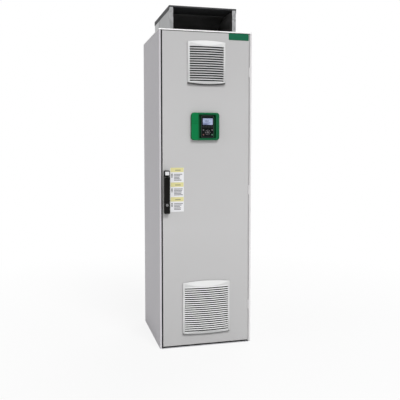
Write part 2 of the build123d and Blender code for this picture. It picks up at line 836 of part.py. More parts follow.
# ---------------------------------------------------------------- keypad frame
# A rounded moulding with a wide and a narrow strip beside the sunk bay of the keypad.
keypad_floor = front - hmi_floor
keypad_face = keypad_floor - keypad_depth
with BuildPart() as hmi_frame:
    slab(front_at(front), hmi_centre, hmi_size, hmi_corner, hmi_depth)
    fillet(hmi_frame.edges().group_by(Axis.Y)[0], hmi_edge_radius)
    bay_left = hmi_centre[0] - hmi_size[0] / 2 + hmi_left_strip
    bay_right = hmi_centre[0] + hmi_size[0] / 2 - hmi_right_strip
    bay_centre = ((bay_left + bay_right) / 2, hmi_centre[1])
    slab(front_at(keypad_floor), bay_centre, (bay_right - bay_left, hmi_size[1] - 2 * hmi_band),
         keypad_corner, hmi_depth, mode=Mode.SUBTRACT)
    slab(front_at(front), keypad_centre, keypad_connector, cut_corner, hmi_depth, mode=Mode.SUBTRACT)
    with BuildSketch(front_at(front - hmi_depth + hmi_groove[1])):
        with Locations((bay_left - hmi_left_strip / 2, hmi_centre[1] + hmi_groove_height)):
            with GridLocations(0, hmi_groove_pitch, 1, 2):
                Rectangle(hmi_left_strip, hmi_groove[0])
    extrude(amount=2 * hmi_groove[1], mode=Mode.SUBTRACT)
hmi_frame.part.label = "hmi_frame"
export_step(hmi_frame.part, "parts/hmi_frame.step")

# ---------------------------------------------------------------- keypad with its screen and keys
round_keys = (("escape", -1, 1), ("help", 1, 1), ("stop", -1, -1), ("run", 1, -1))


def keypad_place(offset_xz):
    """A point of the keypad's face from its offset to the keypad's centre, in X and Z."""
    return (keypad_centre[0] + offset_xz[0], keypad_centre[1] + offset_xz[1])


def function_key_place(number):
    """The centre of one of the four function keys, numbered from 0 at the left."""
    return keypad_place(((number - (function_keys - 1) / 2) * function_key_pitch, function_key_drop))


def round_key_place(hand, tier):
    """The centre of one of the four small keys around the wheel."""
    return keypad_place((wheel_offset[0] + hand * round_key_spread[0],
                         wheel_offset[1] + tier * round_key_spread[1]))


with BuildPart() as keypad_body:
    slab(front_at(keypad_floor), keypad_centre, keypad_size, keypad_corner, keypad_depth)
    fillet(keypad_body.edges().group_by(Axis.Y)[0], keypad_edge_radius)
    slab(front_at(keypad_face), keypad_place(screen_offset), screen_size, screen_corner,
         -screen_thickness, mode=Mode.SUBTRACT)
    with BuildSketch(front_at(keypad_face)):
        with Locations(keypad_place(wheel_offset)):
            Circle(wheel_radius)
            Circle(wheel_radius - wheel_groove, mode=Mode.SUBTRACT)
    extrude(amount=-wheel_groove, mode=Mode.SUBTRACT)
    disc(front_at(keypad_face), keypad_place(wheel_offset), ok_radius + loose_clearance, -key_pocket,
         mode=Mode.SUBTRACT)
    for number in range(function_keys):
        slab(front_at(keypad_face), function_key_place(number),
             (function_key_size[0] + 2 * loose_clearance, function_key_size[1] + 2 * loose_clearance),
             function_key_corner, -key_pocket, mode=Mode.SUBTRACT)
    for key_name, hand, tier in round_keys:
        disc(front_at(keypad_face), round_key_place(hand, tier), round_key_radius + loose_clearance,
             -key_pocket, mode=Mode.SUBTRACT)
keypad_body.part.label = "keypad_body"
export_step(keypad_body.part, "parts/keypad_body.step")

with BuildPart() as keypad_screen:
    slab(front_at(keypad_face + screen_thickness), keypad_place(screen_offset),
         (screen_size[0] - 2 * running_clearance, screen_size[1] - 2 * running_clearance),
         screen_corner, screen_thickness)
keypad_screen.part.label = "keypad_screen"
export_step(keypad_screen.part, "parts/keypad_screen.step")

key_length = key_pocket - key_travel - key_end_gap + key_stand
key_back = keypad_face - key_stand + key_length
for number in range(function_keys):
    with BuildPart() as function_key:
        slab(front_at(key_back), function_key_place(number), function_key_size, function_key_corner,
             key_length)
        chamfer(function_key.edges().group_by(Axis.Y)[0], key_edge)
    function_key.part.label = f"function_key_{number + 1}"
    export_step(function_key.part, f"parts/function_key_{number + 1}.step")

for key_name, hand, tier in round_keys:
    with BuildPart() as round_key:
        disc(front_at(key_back), round_key_place(hand, tier), round_key_radius, key_length)
        chamfer(round_key.edges().group_by(Axis.Y)[0], key_edge)
    round_key.part.label = f"{key_name}_key"
    export_step(round_key.part, f"parts/{key_name}_key.step")

with BuildPart() as ok_key:
    disc(front_at(key_back), keypad_place(wheel_offset), ok_radius, key_length)
    chamfer(ok_key.edges().group_by(Axis.Y)[0], key_edge)
ok_key.part.label = "ok_key"
export_step(ok_key.part, "parts/ok_key.step")

# ---------------------------------------------------------------- nameplate
with BuildPart() as nameplate:
    nameplate_centre = (door_side - nameplate_inset_x - nameplate_size[0] / 2,
                        door_top - nameplate_inset_z - nameplate_size[1] / 2)
    slab(front_at(front), nameplate_centre, nameplate_size, nameplate_corner, nameplate_thickness)
    fillet(nameplate.edges().group_by(Axis.Y)[0], nameplate_edge_radius)
nameplate.part.label = "nameplate"
export_step(nameplate.part, "parts/nameplate.step")

# ---------------------------------------------------------------- swing handle
lever_thickness = handle_depth - handle_plate - lever_gap
lever_back = front - handle_plate - lever_gap
lever_middle = lever_back - lever_thickness / 2
lever_top_radius = lever_thickness / 2
lever_swing_radius = lock_z - housing_top - lever_end_gap
handle_middle = (handle_bottom + handle_top) / 2

# A fixed base plate lies on the door; its lower end rises into the housing of the key cylinder.
with BuildPart() as handle_base:
    slab(front_at(front), (lock_x, handle_middle), (handle_width, handle_top - handle_bottom),
         handle_corner, handle_plate)
    with BuildSketch(front_at(front)):
        with Locations((lock_x, (handle_bottom + housing_top) / 2)):
            Rectangle(handle_width, housing_top - handle_bottom)
    extrude(amount=handle_depth)
    fillet(handle_base.edges().filter_by(Axis.Y).sort_by(Axis.Z)[:2], cut_corner)
    fillet(handle_base.edges().group_by(Axis.Y)[0], base_edge_radius)
    disc(front_at(front - handle_depth), (lock_x, cylinder_z), cylinder_radius + running_clearance,
         handle_plate - handle_depth, mode=Mode.SUBTRACT)
    disc(front_at(front), (lock_x, lock_z), spindle_radius + running_clearance, handle_plate,
         mode=Mode.SUBTRACT)
handle_base.part.label = "handle_base"
export_step(handle_base.part, "parts/handle_base.step")

with BuildPart() as lock_cylinder:
    disc(front_at(front - handle_plate - lever_gap / 2), (lock_x, cylinder_z), cylinder_radius,
         handle_depth - handle_plate - lever_gap / 2 + cylinder_stand)
    chamfer(lock_cylinder.edges().group_by(Axis.Y)[0], cylinder_edge)
    with BuildSketch(front_at(front - handle_depth - cylinder_stand)):
        with Locations((lock_x, cylinder_z)):
            Rectangle(key_slot[0], key_slot[1])
    extrude(amount=-key_slot_depth, mode=Mode.SUBTRACT)
lock_cylinder.part.label = "lock_cylinder"
export_step(lock_cylinder.part, "parts/lock_cylinder.step")


# ---------------------------------------------------------------- rack and pinion of the rod lock
# Stub teeth of 20 degrees pressure angle. Turning the handle a quarter turn moves each rod three teeth.
pressure_angle = math.radians(20)
base_radius = pitch_radius * math.cos(pressure_angle)
tip_radius = pitch_radius + rack_addendum
root_radius = pitch_radius - rack_dedendum
circular_pitch = math.pi * gear_module
tooth_thickness = circular_pitch / 2 - gear_backlash / 2


def involute_point(radius, turn):
    """A point on the involute at this radius, turned by an angle about the gear's axis."""
    roll = math.sqrt((radius / base_radius) ** 2 - 1)
    angle = turn + roll - math.atan(roll)
    return (radius * math.cos(angle), radius * math.sin(angle))


def pinion_tooth():
    """One tooth with involute flanks, pointing along the sketch's +X and sunk into the root circle."""
    half_tooth = tooth_thickness / 2 / pitch_radius
    flank_turn = -half_tooth - (math.tan(pressure_angle) - pressure_angle)
    radii = [base_radius + (tip_radius - base_radius) * step / 3 for step in range(4)]
    lower = [involute_point(radius, flank_turn) for radius in radii]
    upper = [(x, -y) for x, y in lower]
    foot_x = root_radius * 0.9
    with BuildSketch(mode=Mode.PRIVATE) as tooth:
        with BuildLine():
            Spline(*lower)
            Line(lower[-1], upper[-1])
            Spline(*upper)
            Polyline(upper[0], (foot_x, upper[0][1]), (foot_x, lower[0][1]), lower[0])
        make_face()
    return tooth.sketch


pinion_plane = Plane((lock_x, gear_middle + gear_face / 2, lock_z), x_dir=(1, 0, 0), z_dir=(0, -1, 0))
with BuildPart() as handle_spindle:
    shaft_rear = front + door_sheet + gearbox_depth - spindle_end_gap
    disc(front_at(shaft_rear), (lock_x, lock_z), spindle_radius, shaft_rear - lever_back)
    with BuildSketch(pinion_plane):
        Circle(root_radius)
        for number in range(gear_teeth):
            add(pinion_tooth().rotate(Axis.Z, number * 360 / gear_teeth))
    extrude(amount=gear_face)
    slab(front_at(lever_back), (lock_x, (handle_top + lock_z - head_reach) / 2),
         (handle_width, handle_top - lock_z + head_reach), handle_corner, lever_thickness)
    fillet(handle_spindle.edges().group_by(Axis.Y)[0], handle_edge_radius)
    with BuildSketch(side_at(lock_x)):
        with BuildLine():
            Polyline((lever_middle - tongue_radius, lever_pin_z), (lever_middle - tongue_radius, lock_z),
                     (lever_middle + tongue_radius, lock_z), (lever_middle + tongue_radius, lever_pin_z))
            RadiusArc((lever_middle + tongue_radius, lever_pin_z),
                      (lever_middle - tongue_radius, lever_pin_z), tongue_radius)
        make_face()
    extrude(amount=tongue_width / 2, both=True)
    with BuildSketch(side_at(lock_x)):
        with Locations((lever_middle, lever_pin_z)):
            Circle(lever_pin_radius)
    extrude(amount=handle_width / 2 - lever_pin_inset, both=True)
handle_spindle.part.label = "handle_spindle"
export_step(handle_spindle.part, "parts/handle_spindle.step")

with BuildPart() as handle_lever:
    with BuildSketch(front_at(lever_back)):
        with BuildLine():
            half_lever = handle_width / 2
            end_corner = lock_z - math.sqrt(lever_swing_radius ** 2 - half_lever ** 2)
            Polyline((lock_x - half_lever, end_corner), (lock_x - half_lever, lever_pin_z),
                     (lock_x + half_lever, lever_pin_z), (lock_x + half_lever, end_corner))
            ThreePointArc((lock_x + half_lever, end_corner), (lock_x, lock_z - lever_swing_radius),
                          (lock_x - half_lever, end_corner))
        make_face()
    extrude(amount=lever_thickness)
    fillet(handle_lever.edges().group_by(Axis.Y)[0].sort_by(Axis.Z)[:3], handle_edge_radius)
    with BuildSketch(side_at(lock_x)):
        with Locations((lever_middle, lever_pin_z)):
            Circle(lever_top_radius)
    extrude(amount=half_lever, both=True)
    with BuildSketch(side_at(lock_x)):
        with Locations((lever_middle, lever_pin_z)):
            Circle(lever_top_radius + head_gap)
    extrude(amount=tongue_width / 2 + loose_clearance, both=True, mode=Mode.SUBTRACT)
    with BuildSketch(side_at(lock_x)):
        with Locations((lever_middle, lever_pin_z)):
            Circle(lever_pin_radius + running_clearance)
    extrude(amount=half_lever, both=True, mode=Mode.SUBTRACT)
handle_lever.part.label = "handle_lever"
export_step(handle_lever.part, "parts/handle_lever.step")

# ---------------------------------------------------------------- lock gearbox and rods
cavity_depth = gear_face + 2 * gear_clearance
channel_outer = pitch_radius + rack_dedendum + rod_width + gear_clearance
channel_inner = pitch_radius - rack_addendum - gear_clearance
with BuildPart() as lock_gearbox:
    slab(front_at(front + door_sheet + gearbox_depth), (lock_x, lock_z), gearbox_size, gearbox_corner,
         gearbox_depth)
    disc(front_at(gear_middle + cavity_depth / 2), (lock_x, lock_z), tip_radius + gear_clearance,
         cavity_depth, mode=Mode.SUBTRACT)
    for hand in (-1, 1):
        plate(sorted((lock_x + hand * channel_inner, lock_x + hand * channel_outer)),
              (gear_middle - cavity_depth / 2, gear_middle + cavity_depth / 2),
              (lock_z - gearbox_size[1] / 2, lock_z + gearbox_size[1] / 2), mode=Mode.SUBTRACT)
    disc(front_at(front + door_sheet + gearbox_depth), (lock_x, lock_z),
         spindle_radius + running_clearance, gearbox_depth, mode=Mode.SUBTRACT)
lock_gearbox.part.label = "lock_gearbox"
export_step(lock_gearbox.part, "parts/lock_gearbox.step")

rod_travel = pitch_radius * math.pi / 2


def rack_rod(hand, direction, tip_z):
    """A lock rod: a flat bar with a rack beside the pinion and a joggled tip at tip_z.

    hand is the side of the pinion that it runs on, direction is +1 for the rod that rises to the roof.
    """
    pitch_x = lock_x + hand * pitch_radius
    back_x = pitch_x + hand * (rack_dedendum + rod_width)
    root_x = pitch_x + hand * rack_dedendum
    heel_x = root_x + hand * rack_root_overlap
    crest_x = pitch_x - hand * rack_addendum
    end_z = lock_z - direction * rack_overlap
    with BuildPart() as rod:
        plate(sorted((root_x, back_x)), (rod_front, rod_rear),
              sorted((end_z, tip_z - direction * rod_tip_rise)))
        half_root = tooth_thickness / 2 + rack_dedendum * math.tan(pressure_angle)
        half_crest = tooth_thickness / 2 - rack_addendum * math.tan(pressure_angle)
        tooth_count = int((rack_overlap + rod_travel) / circular_pitch) + 2
        with BuildSketch(front_at(rod_rear)):
            for number in range(tooth_count):
                tooth_z = lock_z + direction * (number - rack_first_tooth) * circular_pitch
                Polygon((heel_x, tooth_z - half_root), (root_x, tooth_z - half_root),
                        (crest_x, tooth_z - half_crest), (crest_x, tooth_z + half_crest),
                        (root_x, tooth_z + half_root), (heel_x, tooth_z + half_root), align=None)
        extrude(amount=gear_face)
        shoulder_z = tip_z - direction * rod_tip_rise
        shoulder = sorted((shoulder_z, shoulder_z - direction * rod_tip_rise))
        side_x = (min(root_x, back_x, tip_x[0]), max(root_x, back_x, tip_x[1]))
        plate(side_x, (rod_front, rod_rear), shoulder)
        plate(tip_x, (rod_front, tip_rear), shoulder)
        plate(tip_x, (tip_front, tip_rear), sorted((shoulder_z, tip_z)))
    return rod.part


upper_tip_z = top_rail_underside - keeper_height - keeper_gap
lower_tip_z = rail_height + keeper_height + keeper_gap
upper_lock_rod = rack_rod(-1, 1, upper_tip_z)
upper_lock_rod.label = "upper_lock_rod"
export_step(upper_lock_rod, "parts/upper_lock_rod.step")
lower_lock_rod = rack_rod(1, -1, lower_tip_z)
lower_lock_rod.label = "lower_lock_rod"
export_step(lower_lock_rod, "parts/lower_lock_rod.step")

# ---------------------------------------------------------------- door stiffeners and rod guides
stiffener_depth = door_depth - door_sheet
stiffener_height = door_height - 2 * door_hem - 2 * stiffener_end
with BuildPart() as door_stiffeners:
    for hand in (-1, 1):
        with BuildSketch(plan_at(door_middle - stiffener_height / 2)):
            with Locations((hand * stiffener_x, front + door_sheet + stiffener_depth / 2)):
                Rectangle(stiffener_width, stiffener_depth)
                Rectangle(stiffener_width - 2 * panel_sheet, stiffener_depth - 2 * panel_sheet,
                          mode=Mode.SUBTRACT)
        extrude(amount=stiffener_height)
        with BuildSketch(front_at(door_back)):
            with Locations((hand * stiffener_x, door_middle)):
                with GridLocations(0, stiffener_height / stiffener_holes, 1, stiffener_holes):
                    Rectangle(stiffener_hole[0], stiffener_hole[1])
        extrude(amount=panel_sheet, mode=Mode.SUBTRACT)
    for end in (-1, 1):
        cross_z = door_middle + end * (stiffener_height / 2 - stiffener_width / 2)
        with BuildSketch(side_at(-stiffener_x + stiffener_width / 2)):
            with Locations((front + door_sheet + stiffener_depth / 2, cross_z)):
                Rectangle(stiffener_depth, stiffener_width)
                Rectangle(stiffener_depth - 2 * panel_sheet, stiffener_width - 2 * panel_sheet,
                          mode=Mode.SUBTRACT)
        extrude(amount=2 * stiffener_x - stiffener_width)
door_stiffeners.part.label = "door_stiffeners"
export_step(door_stiffeners.part, "parts/door_stiffeners.step")

with BuildPart() as rod_guides:
    for hand, guide_z in ((-1, lock_z + guide_offset), (1, lock_z - guide_offset)):
        rod_x = sorted((lock_x + hand * (pitch_radius + rack_dedendum),
                        lock_x + hand * (pitch_radius + rack_dedendum + rod_width)))
        guide_z_range = (guide_z - guide_half_height, guide_z + guide_half_height)
        plate((rod_x[0] - guide_reach, rod_x[1] + guide_reach),
              (front + door_sheet, rod_rear + guide_wall), guide_z_range)
        plate((rod_x[0] - loose_clearance, rod_x[1] + loose_clearance),
              (rod_front - loose_clearance, rod_rear + loose_clearance), guide_z_range,
              mode=Mode.SUBTRACT)
rod_guides.part.label = "rod_guides"
export_step(rod_guides.part, "parts/rod_guides.step")

# ---------------------------------------------------------------- door hinges
# Three pairs of leaves in the gap beside the door. The cabinet leaf carries a fixed pin between its
# two end knuckles, and the door leaf's middle knuckle turns on it.
hinge_x = door_side + side_gap / 2
hinge_y = front + hinge_recess
with BuildPart() as door_hinge_leaves:
    for hinge_z in hinge_heights:
        low = hinge_z - hinge_middle / 2 + hinge_end_gap
        high = hinge_z + hinge_middle / 2 - hinge_end_gap
        disc(plan_at(low), (hinge_x, hinge_y), knuckle_radius, high - low)
        plate((door_side, door_side + hinge_leaf), (hinge_y, door_back - door_sheet), (low, high))
        disc(plan_at(low), (hinge_x, hinge_y), hinge_pin_radius + running_clearance, high - low,
             mode=Mode.SUBTRACT)
door_hinge_leaves.part.label = "door_hinge_leaves"
export_step(door_hinge_leaves.part, "parts/door_hinge_leaves.step")

with BuildPart() as cabinet_hinge_leaves:
    for hinge_z in hinge_heights:
        low = hinge_z - hinge_length / 2
        plate((strip_inner - hinge_leaf, strip_inner), (hinge_y, seal_face), (low, low + hinge_length))
        disc(plan_at(low), (hinge_x, hinge_y), knuckle_radius, hinge_length)
        with BuildSketch(plan_at(hinge_z - hinge_middle / 2)):
            with Locations((hinge_x, hinge_y)):
                Rectangle(side_gap, 2 * (knuckle_radius + loose_clearance))
                Circle(hinge_pin_radius, mode=Mode.SUBTRACT)
        extrude(amount=hinge_middle, mode=Mode.SUBTRACT)
cabinet_hinge_leaves.part.label = "cabinet_hinge_leaves"
export_step(cabinet_hinge_leaves.part, "parts/cabinet_hinge_leaves.step")

# ---------------------------------------------------------------- power module
# A sheet-metal housing on the mounting plate. Air enters below, passes the heatsink's fins and leaves
# through the fan tray on top, towards the opening in the roof.
module_front = mounting_face - module_depth
module_top = module_bottom + module_height
module_middle_z = module_bottom + module_height / 2
module_middle_y = mounting_face - module_depth / 2
airway_y = (module_front + airway_front_gap, mounting_face - airway_rear_gap)
with BuildPart() as module_housing:
    with BuildSketch(plan_at(module_bottom)):
        with Locations((0, module_middle_y)):
            Rectangle(module_width, module_depth)
    extrude(amount=module_height)
    plate((module_sheet - module_width / 2, module_width / 2 - module_sheet),
          (module_front, mounting_face - module_sheet),
          (module_bottom + module_sheet, module_top - module_sheet), mode=Mode.SUBTRACT)
    plate((-airway_width / 2, airway_width / 2), airway_y, (module_bottom, module_top), mode=Mode.SUBTRACT)
module_housing.part.label = "module_housing"
export_step(module_housing.part, "parts/module_housing.step")

with BuildPart() as module_cover:
    with BuildSketch(front_at(module_front)):
        with Locations((0, module_middle_z)):
            Rectangle(module_width, module_height)
    extrude(amount=cover_depth)
    fillet(module_cover.edges().group_by(Axis.Y)[0], module_corner)
    offset(amount=-module_sheet, openings=module_cover.faces().sort_by(Axis.Y)[-1])
    with BuildSketch(front_at(module_front)):
        for end in (-1, 1):
            with Locations((0, module_middle_z + end * (module_height / 2 - vent_margin))):
                with GridLocations(0, vent_pitch, 1, vent_count):
                    Rectangle(vent_size[0], vent_size[1])
    extrude(amount=cover_depth, mode=Mode.SUBTRACT)
module_cover.part.label = "module_cover"
export_step(module_cover.part, "parts/module_cover.step")

# ---------------------------------------------------------------- heatsink and what is bolted to it
fin_rear = mounting_face - airway_rear_gap
base_rear = fin_rear - heatsink_fin_depth
base_face = base_rear - heatsink_base
heatsink_bottom = module_bottom + (module_height - heatsink_size[1]) / 2
with BuildPart() as heatsink:
    with BuildSketch(plan_at(heatsink_bottom)):
        with Locations((0, (base_rear + base_face) / 2)):
            Rectangle(module_width - 2 * module_sheet - 2 * loose_clearance, heatsink_base)
        with Locations((0, (base_rear + fin_rear) / 2)):
            with GridLocations((heatsink_size[0] - heatsink_fin) / (heatsink_fins - 1), 0,
                               heatsink_fins, 1):
                Rectangle(heatsink_fin, heatsink_fin_depth)
    extrude(amount=heatsink_size[1])
heatsink.part.label = "heatsink"
export_step(heatsink.part, "parts/heatsink.step")

power_module_z = heatsink_bottom + power_module_rise
lid_face = base_face - power_module_size[2] + power_module_lid[2]
with BuildPart() as power_modules:
    with BuildSketch(front_at(base_face)):
        with Locations((0, power_module_z)):
            with GridLocations(power_module_pitch, 0, 3, 1):
                RectangleRounded(power_module_size[0], power_module_size[1], power_module_corner)
    extrude(amount=power_module_size[2] - power_module_lid[2])
    with BuildSketch(front_at(lid_face)):
        with Locations((0, power_module_z)):
            with GridLocations(power_module_pitch, 0, 3, 1):
                Rectangle(power_module_lid[0], power_module_lid[1])
    extrude(amount=power_module_lid[2])
power_modules.part.label = "power_modules"
export_step(power_modules.part, "parts/power_modules.step")

capacitor_z = heatsink_bottom + heatsink_size[1] - capacitor_drop
with BuildPart() as dc_capacitors:
    with BuildSketch(front_at(base_face)):
        with Locations((0, capacitor_z)):
            with GridLocations(capacitor_pitch, capacitor_pitch, capacitor_columns, capacitor_rows):
                Circle(capacitor_radius)
    extrude(amount=capacitor_length)
    with BuildSketch(front_at(base_face - capacitor_length)):
        with Locations((0, capacitor_z)):
            with GridLocations(capacitor_pitch, capacitor_pitch, capacitor_columns, capacitor_rows):
                with GridLocations(capacitor_stud_pitch, 0, 2, 1):
                    RegularPolygon(capacitor_stud_radius, 6)
    extrude(amount=capacitor_stud_height)
dc_capacitors.part.label = "dc_capacitors"
export_step(dc_capacitors.part, "parts/dc_capacitors.step")

# ---------------------------------------------------------------- fan tray and rotor
fan_y = (airway_y[0] + airway_y[1]) / 2
with BuildPart() as fan_tray:
    with BuildSketch(plan_at(module_top)):
        with Locations((0, fan_y)):
            RectangleRounded(tray_width, airway_y[1] - airway_y[0], tray_corner)
            Circle(fan_radius, mode=Mode.SUBTRACT)
    extrude(amount=tray_height)
    with BuildSketch(plan_at(module_top)):
        with Locations((0, fan_y)):
            Circle(fan_hub_radius)
            with PolarLocations((fan_radius + fan_hub_radius) / 2, fan_struts, 90):
                Rectangle(fan_radius - fan_hub_radius + 2 * hub_overlap, fan_strut)
    extrude(amount=tray_plate)
    disc(plan_at(module_top), (0, fan_y), fan_spindle_radius, tray_height - fan_spindle_drop)
fan_tray.part.label = "fan_tray"
export_step(fan_tray.part, "parts/fan_tray.step")

rotor_base = module_top + tray_plate + fan_rotor_gap
blade_root = fan_hub_radius - hub_overlap
blade_tip = fan_radius - fan_tip_gap
with BuildPart() as fan_rotor:
    disc(plan_at(rotor_base), (0, fan_y), fan_hub_radius, fan_rotor_height)
    chamfer(fan_rotor.edges().group_by(Axis.Z)[-1], hub_edge)
    for number in range(fan_blades):
        turn = number * 2 * math.pi / fan_blades
        spoke = Plane((0, fan_y, rotor_base + fan_rotor_height / 2),
                      x_dir=(-math.sin(turn), math.cos(turn), 0), z_dir=(math.cos(turn), math.sin(turn), 0))
        with BuildSketch(spoke.offset(blade_root)):
            Rectangle(blade_root_chord, blade_thickness, rotation=blade_root_angle)
        with BuildSketch(spoke.offset(blade_tip - hub_edge)):
            Rectangle(blade_tip_chord, blade_thickness, rotation=blade_tip_angle)
        loft(ruled=True)
    disc(plan_at(rotor_base), (0, fan_y), fan_spindle_radius + running_clearance, fan_rotor_height,
         mode=Mode.SUBTRACT)
fan_rotor.part.label = "fan_rotor"
export_step(fan_rotor.part, "parts/fan_rotor.step")

# ---------------------------------------------------------------- control unit
control_z = module_middle_z
with BuildPart() as control_unit:
    with BuildSketch(side_at(-control_size[0] / 2)):
        with BuildLine():
            rear_y = module_front - cover_depth
            face_y = rear_y - control_depth
            top_z = control_z + control_size[1] / 2
            bottom_z = control_z - control_size[1] / 2
            Polyline((rear_y, bottom_z), (rear_y, top_z),
                     (rear_y - control_depth * control_top_slope[0], top_z),
                     (face_y, top_z - control_top_slope[1]), (face_y, bottom_z + control_bottom_slope[1]),
                     (rear_y - control_depth * control_bottom_slope[0], bottom_z), close=True)
        make_face()
    extrude(amount=control_size[0])
    fillet(control_unit.edges().filter_by(Axis.Z), control_edge_radius)
    slab(front_at(face_y), (0, control_z + control_recess_rise), control_recess, control_recess_corner,
         -control_recess_depth, mode=Mode.SUBTRACT)
control_unit.part.label = "control_unit"
export_step(control_unit.part, "parts/control_unit.step")

# ---------------------------------------------------------------- terminals, fuses and bars
bar_face = base_face - power_module_size[2]
bar_front = bar_face - bar_size[1]
terminal_z = terminal_bottom + terminal_height / 2
bar_bottom = terminal_bottom + bar_start
bar_top = power_module_z - power_module_size[1] / 2 + bar_overlap
bar_half = bar_size[0] / 2
terminal_width = 2 * (phase_x + 2.5 * phase_pitch)


def phase_places(hand):
    """The X positions of the three phases on one side."""
    return [hand * (phase_x + number * phase_pitch) for number in range(3)]


with BuildPart() as terminal_blocks:
    plate((-terminal_width / 2, terminal_width / 2), (bar_face, mounting_face),
          (terminal_bottom, terminal_bottom + terminal_height))
    with BuildSketch(plan_at(terminal_bottom)):
        for number in range(4):
            for hand in (-1, 1):
                with Locations((hand * (phase_x + (number - 0.5) * phase_pitch), bar_face)):
                    Rectangle(terminal_wall, terminal_wall_rise)
    extrude(amount=terminal_height)
terminal_blocks.part.label = "terminal_blocks"
export_step(terminal_blocks.part, "parts/terminal_blocks.step")

with BuildPart() as power_busbars:
    for bar_x in phase_places(-1):
        plate((bar_x - bar_half, bar_x + bar_half), (bar_front, bar_face), (bar_bottom, bar_top))
    for bar_x in phase_places(1):
        plate((bar_x - bar_half, bar_x + bar_half), (bar_front, bar_face), (bar_bottom, fuse_bottom))
        plate((bar_x - bar_half, bar_x + bar_half), (bar_front, bar_face),
              (fuse_bottom + fuse_length, bar_top))
    with BuildSketch(front_at(bar_front)):
        for hand in (-1, 1):
            for bar_x in phase_places(hand):
                with Locations((bar_x, terminal_z)):
                    RegularPolygon(bolt_radius, 6)
    extrude(amount=bolt_height)
power_busbars.part.label = "power_busbars"
export_step(power_busbars.part, "parts/power_busbars.step")

tag_front = bar_front - fuse_tag_sheet
tag_half = bar_half - fuse_tag_inset
with BuildPart() as line_fuses:
    for bar_x in phase_places(1):
        slab(plan_at(fuse_bottom + fuse_body_inset), (bar_x, tag_front - fuse_width / 2),
             (fuse_width, fuse_width), fuse_corner, fuse_length - 2 * fuse_body_inset)
        plate((bar_x - tag_half, bar_x + tag_half), (tag_front, bar_front),
              (fuse_bottom - fuse_tag, fuse_bottom + fuse_length + fuse_tag))
    with BuildSketch(front_at(tag_front)):
        for bar_x in phase_places(1):
            for tag_z in (fuse_bottom - fuse_tag / 2, fuse_bottom + fuse_length + fuse_tag / 2):
                with Locations((bar_x, tag_z)):
                    RegularPolygon(fuse_bolt_radius, 6)
    extrude(amount=fuse_bolt_height)
line_fuses.part.label = "line_fuses"
export_step(line_fuses.part, "parts/line_fuses.step")

# ---------------------------------------------------------------- line reactor
core_y = mounting_face - core_feet - core_depth / 2
core_window = (core_width - 3 * core_limb) / 2
limb_pitch = core_limb + core_window
window_height = core_height - 2 * core_limb
core_z = core_bottom + core_height / 2
with BuildPart() as reactor_core:
    with BuildSketch(front_at(core_y + core_depth / 2)):
        with Locations((0, core_z)):
            Rectangle(core_width, core_height)
            with GridLocations(limb_pitch, 0, 2, 1):
                Rectangle(core_window, window_height, mode=Mode.SUBTRACT)
    extrude(amount=core_depth)
    for foot_z in (core_bottom, core_bottom + core_height - foot_width):
        for hand in (-1, 1):
            foot_x = sorted((hand * core_width / 2, hand * (core_width / 2 + foot_sheet)))
            plate(foot_x, (core_y - core_depth / 2 + foot_margin, mounting_face),
                  (foot_z, foot_z + foot_width))
            tab_x = sorted((hand * core_width / 2, hand * (core_width / 2 + foot_width)))
            plate(tab_x, (mounting_face - foot_sheet, mounting_face), (foot_z, foot_z + foot_width))
reactor_core.part.label = "reactor_core"
export_step(reactor_core.part, "parts/reactor_core.step")

with BuildPart() as reactor_coils:
    bore_width = core_limb + 2 * coil_clearance
    bore_depth = core_depth + 2 * coil_clearance
    for number in (-1, 0, 1):
        with BuildSketch(plan_at(core_bottom + core_limb + coil_gap)):
            with Locations((number * limb_pitch, core_y)):
                RectangleRounded(bore_width + 2 * coil_wall, bore_depth + 2 * coil_wall, coil_corner)
                Rectangle(bore_width, bore_depth, mode=Mode.SUBTRACT)
        extrude(amount=window_height - 2 * coil_gap)
reactor_coils.part.label = "reactor_coils"
export_step(reactor_coils.part, "parts/reactor_coils.step")

# ---------------------------------------------------------------- earth bar
with BuildPart() as earth_bar:
    with BuildSketch(front_at(mounting_face - earth_post)):
        with Locations((0, earth_z)):
            Rectangle(earth_length, earth_height)
            with GridLocations(earth_length / (earth_holes + 1), 0, earth_holes, 1):
                Circle(earth_hole_radius, mode=Mode.SUBTRACT)
    extrude(amount=earth_thickness)
    with BuildSketch(front_at(mounting_face)):
        with Locations((0, earth_z)):
            with GridLocations(earth_length - earth_post_size[1], 0, 2, 1):
                Rectangle(earth_post_size[0], earth_post_size[1])
    extrude(amount=earth_post)
earth_bar.part.label = "earth_bar"
export_step(earth_bar.part, "parts/earth_bar.step")
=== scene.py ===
import math

import bmesh
import bpy
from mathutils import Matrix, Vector


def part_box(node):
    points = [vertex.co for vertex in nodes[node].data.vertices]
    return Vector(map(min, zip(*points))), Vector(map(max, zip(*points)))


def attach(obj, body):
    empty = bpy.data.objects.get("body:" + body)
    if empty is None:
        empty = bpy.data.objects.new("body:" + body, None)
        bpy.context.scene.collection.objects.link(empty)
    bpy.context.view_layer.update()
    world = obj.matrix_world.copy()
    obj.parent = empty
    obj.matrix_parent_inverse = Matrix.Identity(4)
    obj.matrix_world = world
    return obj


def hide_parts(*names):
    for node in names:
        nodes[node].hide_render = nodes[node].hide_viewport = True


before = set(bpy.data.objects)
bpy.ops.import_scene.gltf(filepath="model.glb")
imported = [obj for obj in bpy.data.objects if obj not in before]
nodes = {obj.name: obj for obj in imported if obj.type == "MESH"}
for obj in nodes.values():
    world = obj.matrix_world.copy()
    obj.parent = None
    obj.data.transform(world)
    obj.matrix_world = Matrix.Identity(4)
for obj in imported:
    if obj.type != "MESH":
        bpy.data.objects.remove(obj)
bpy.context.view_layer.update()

# ---------------------------------------------------------------- sheet-metal shell
# Folded side, rear and roof panels of 1.5 mm steel, screwed over the frame.
# They have a light grey, finely textured powder coat, baked on before assembly.
panel_grey = (0.552, 0.545, 0.548, 1.0)
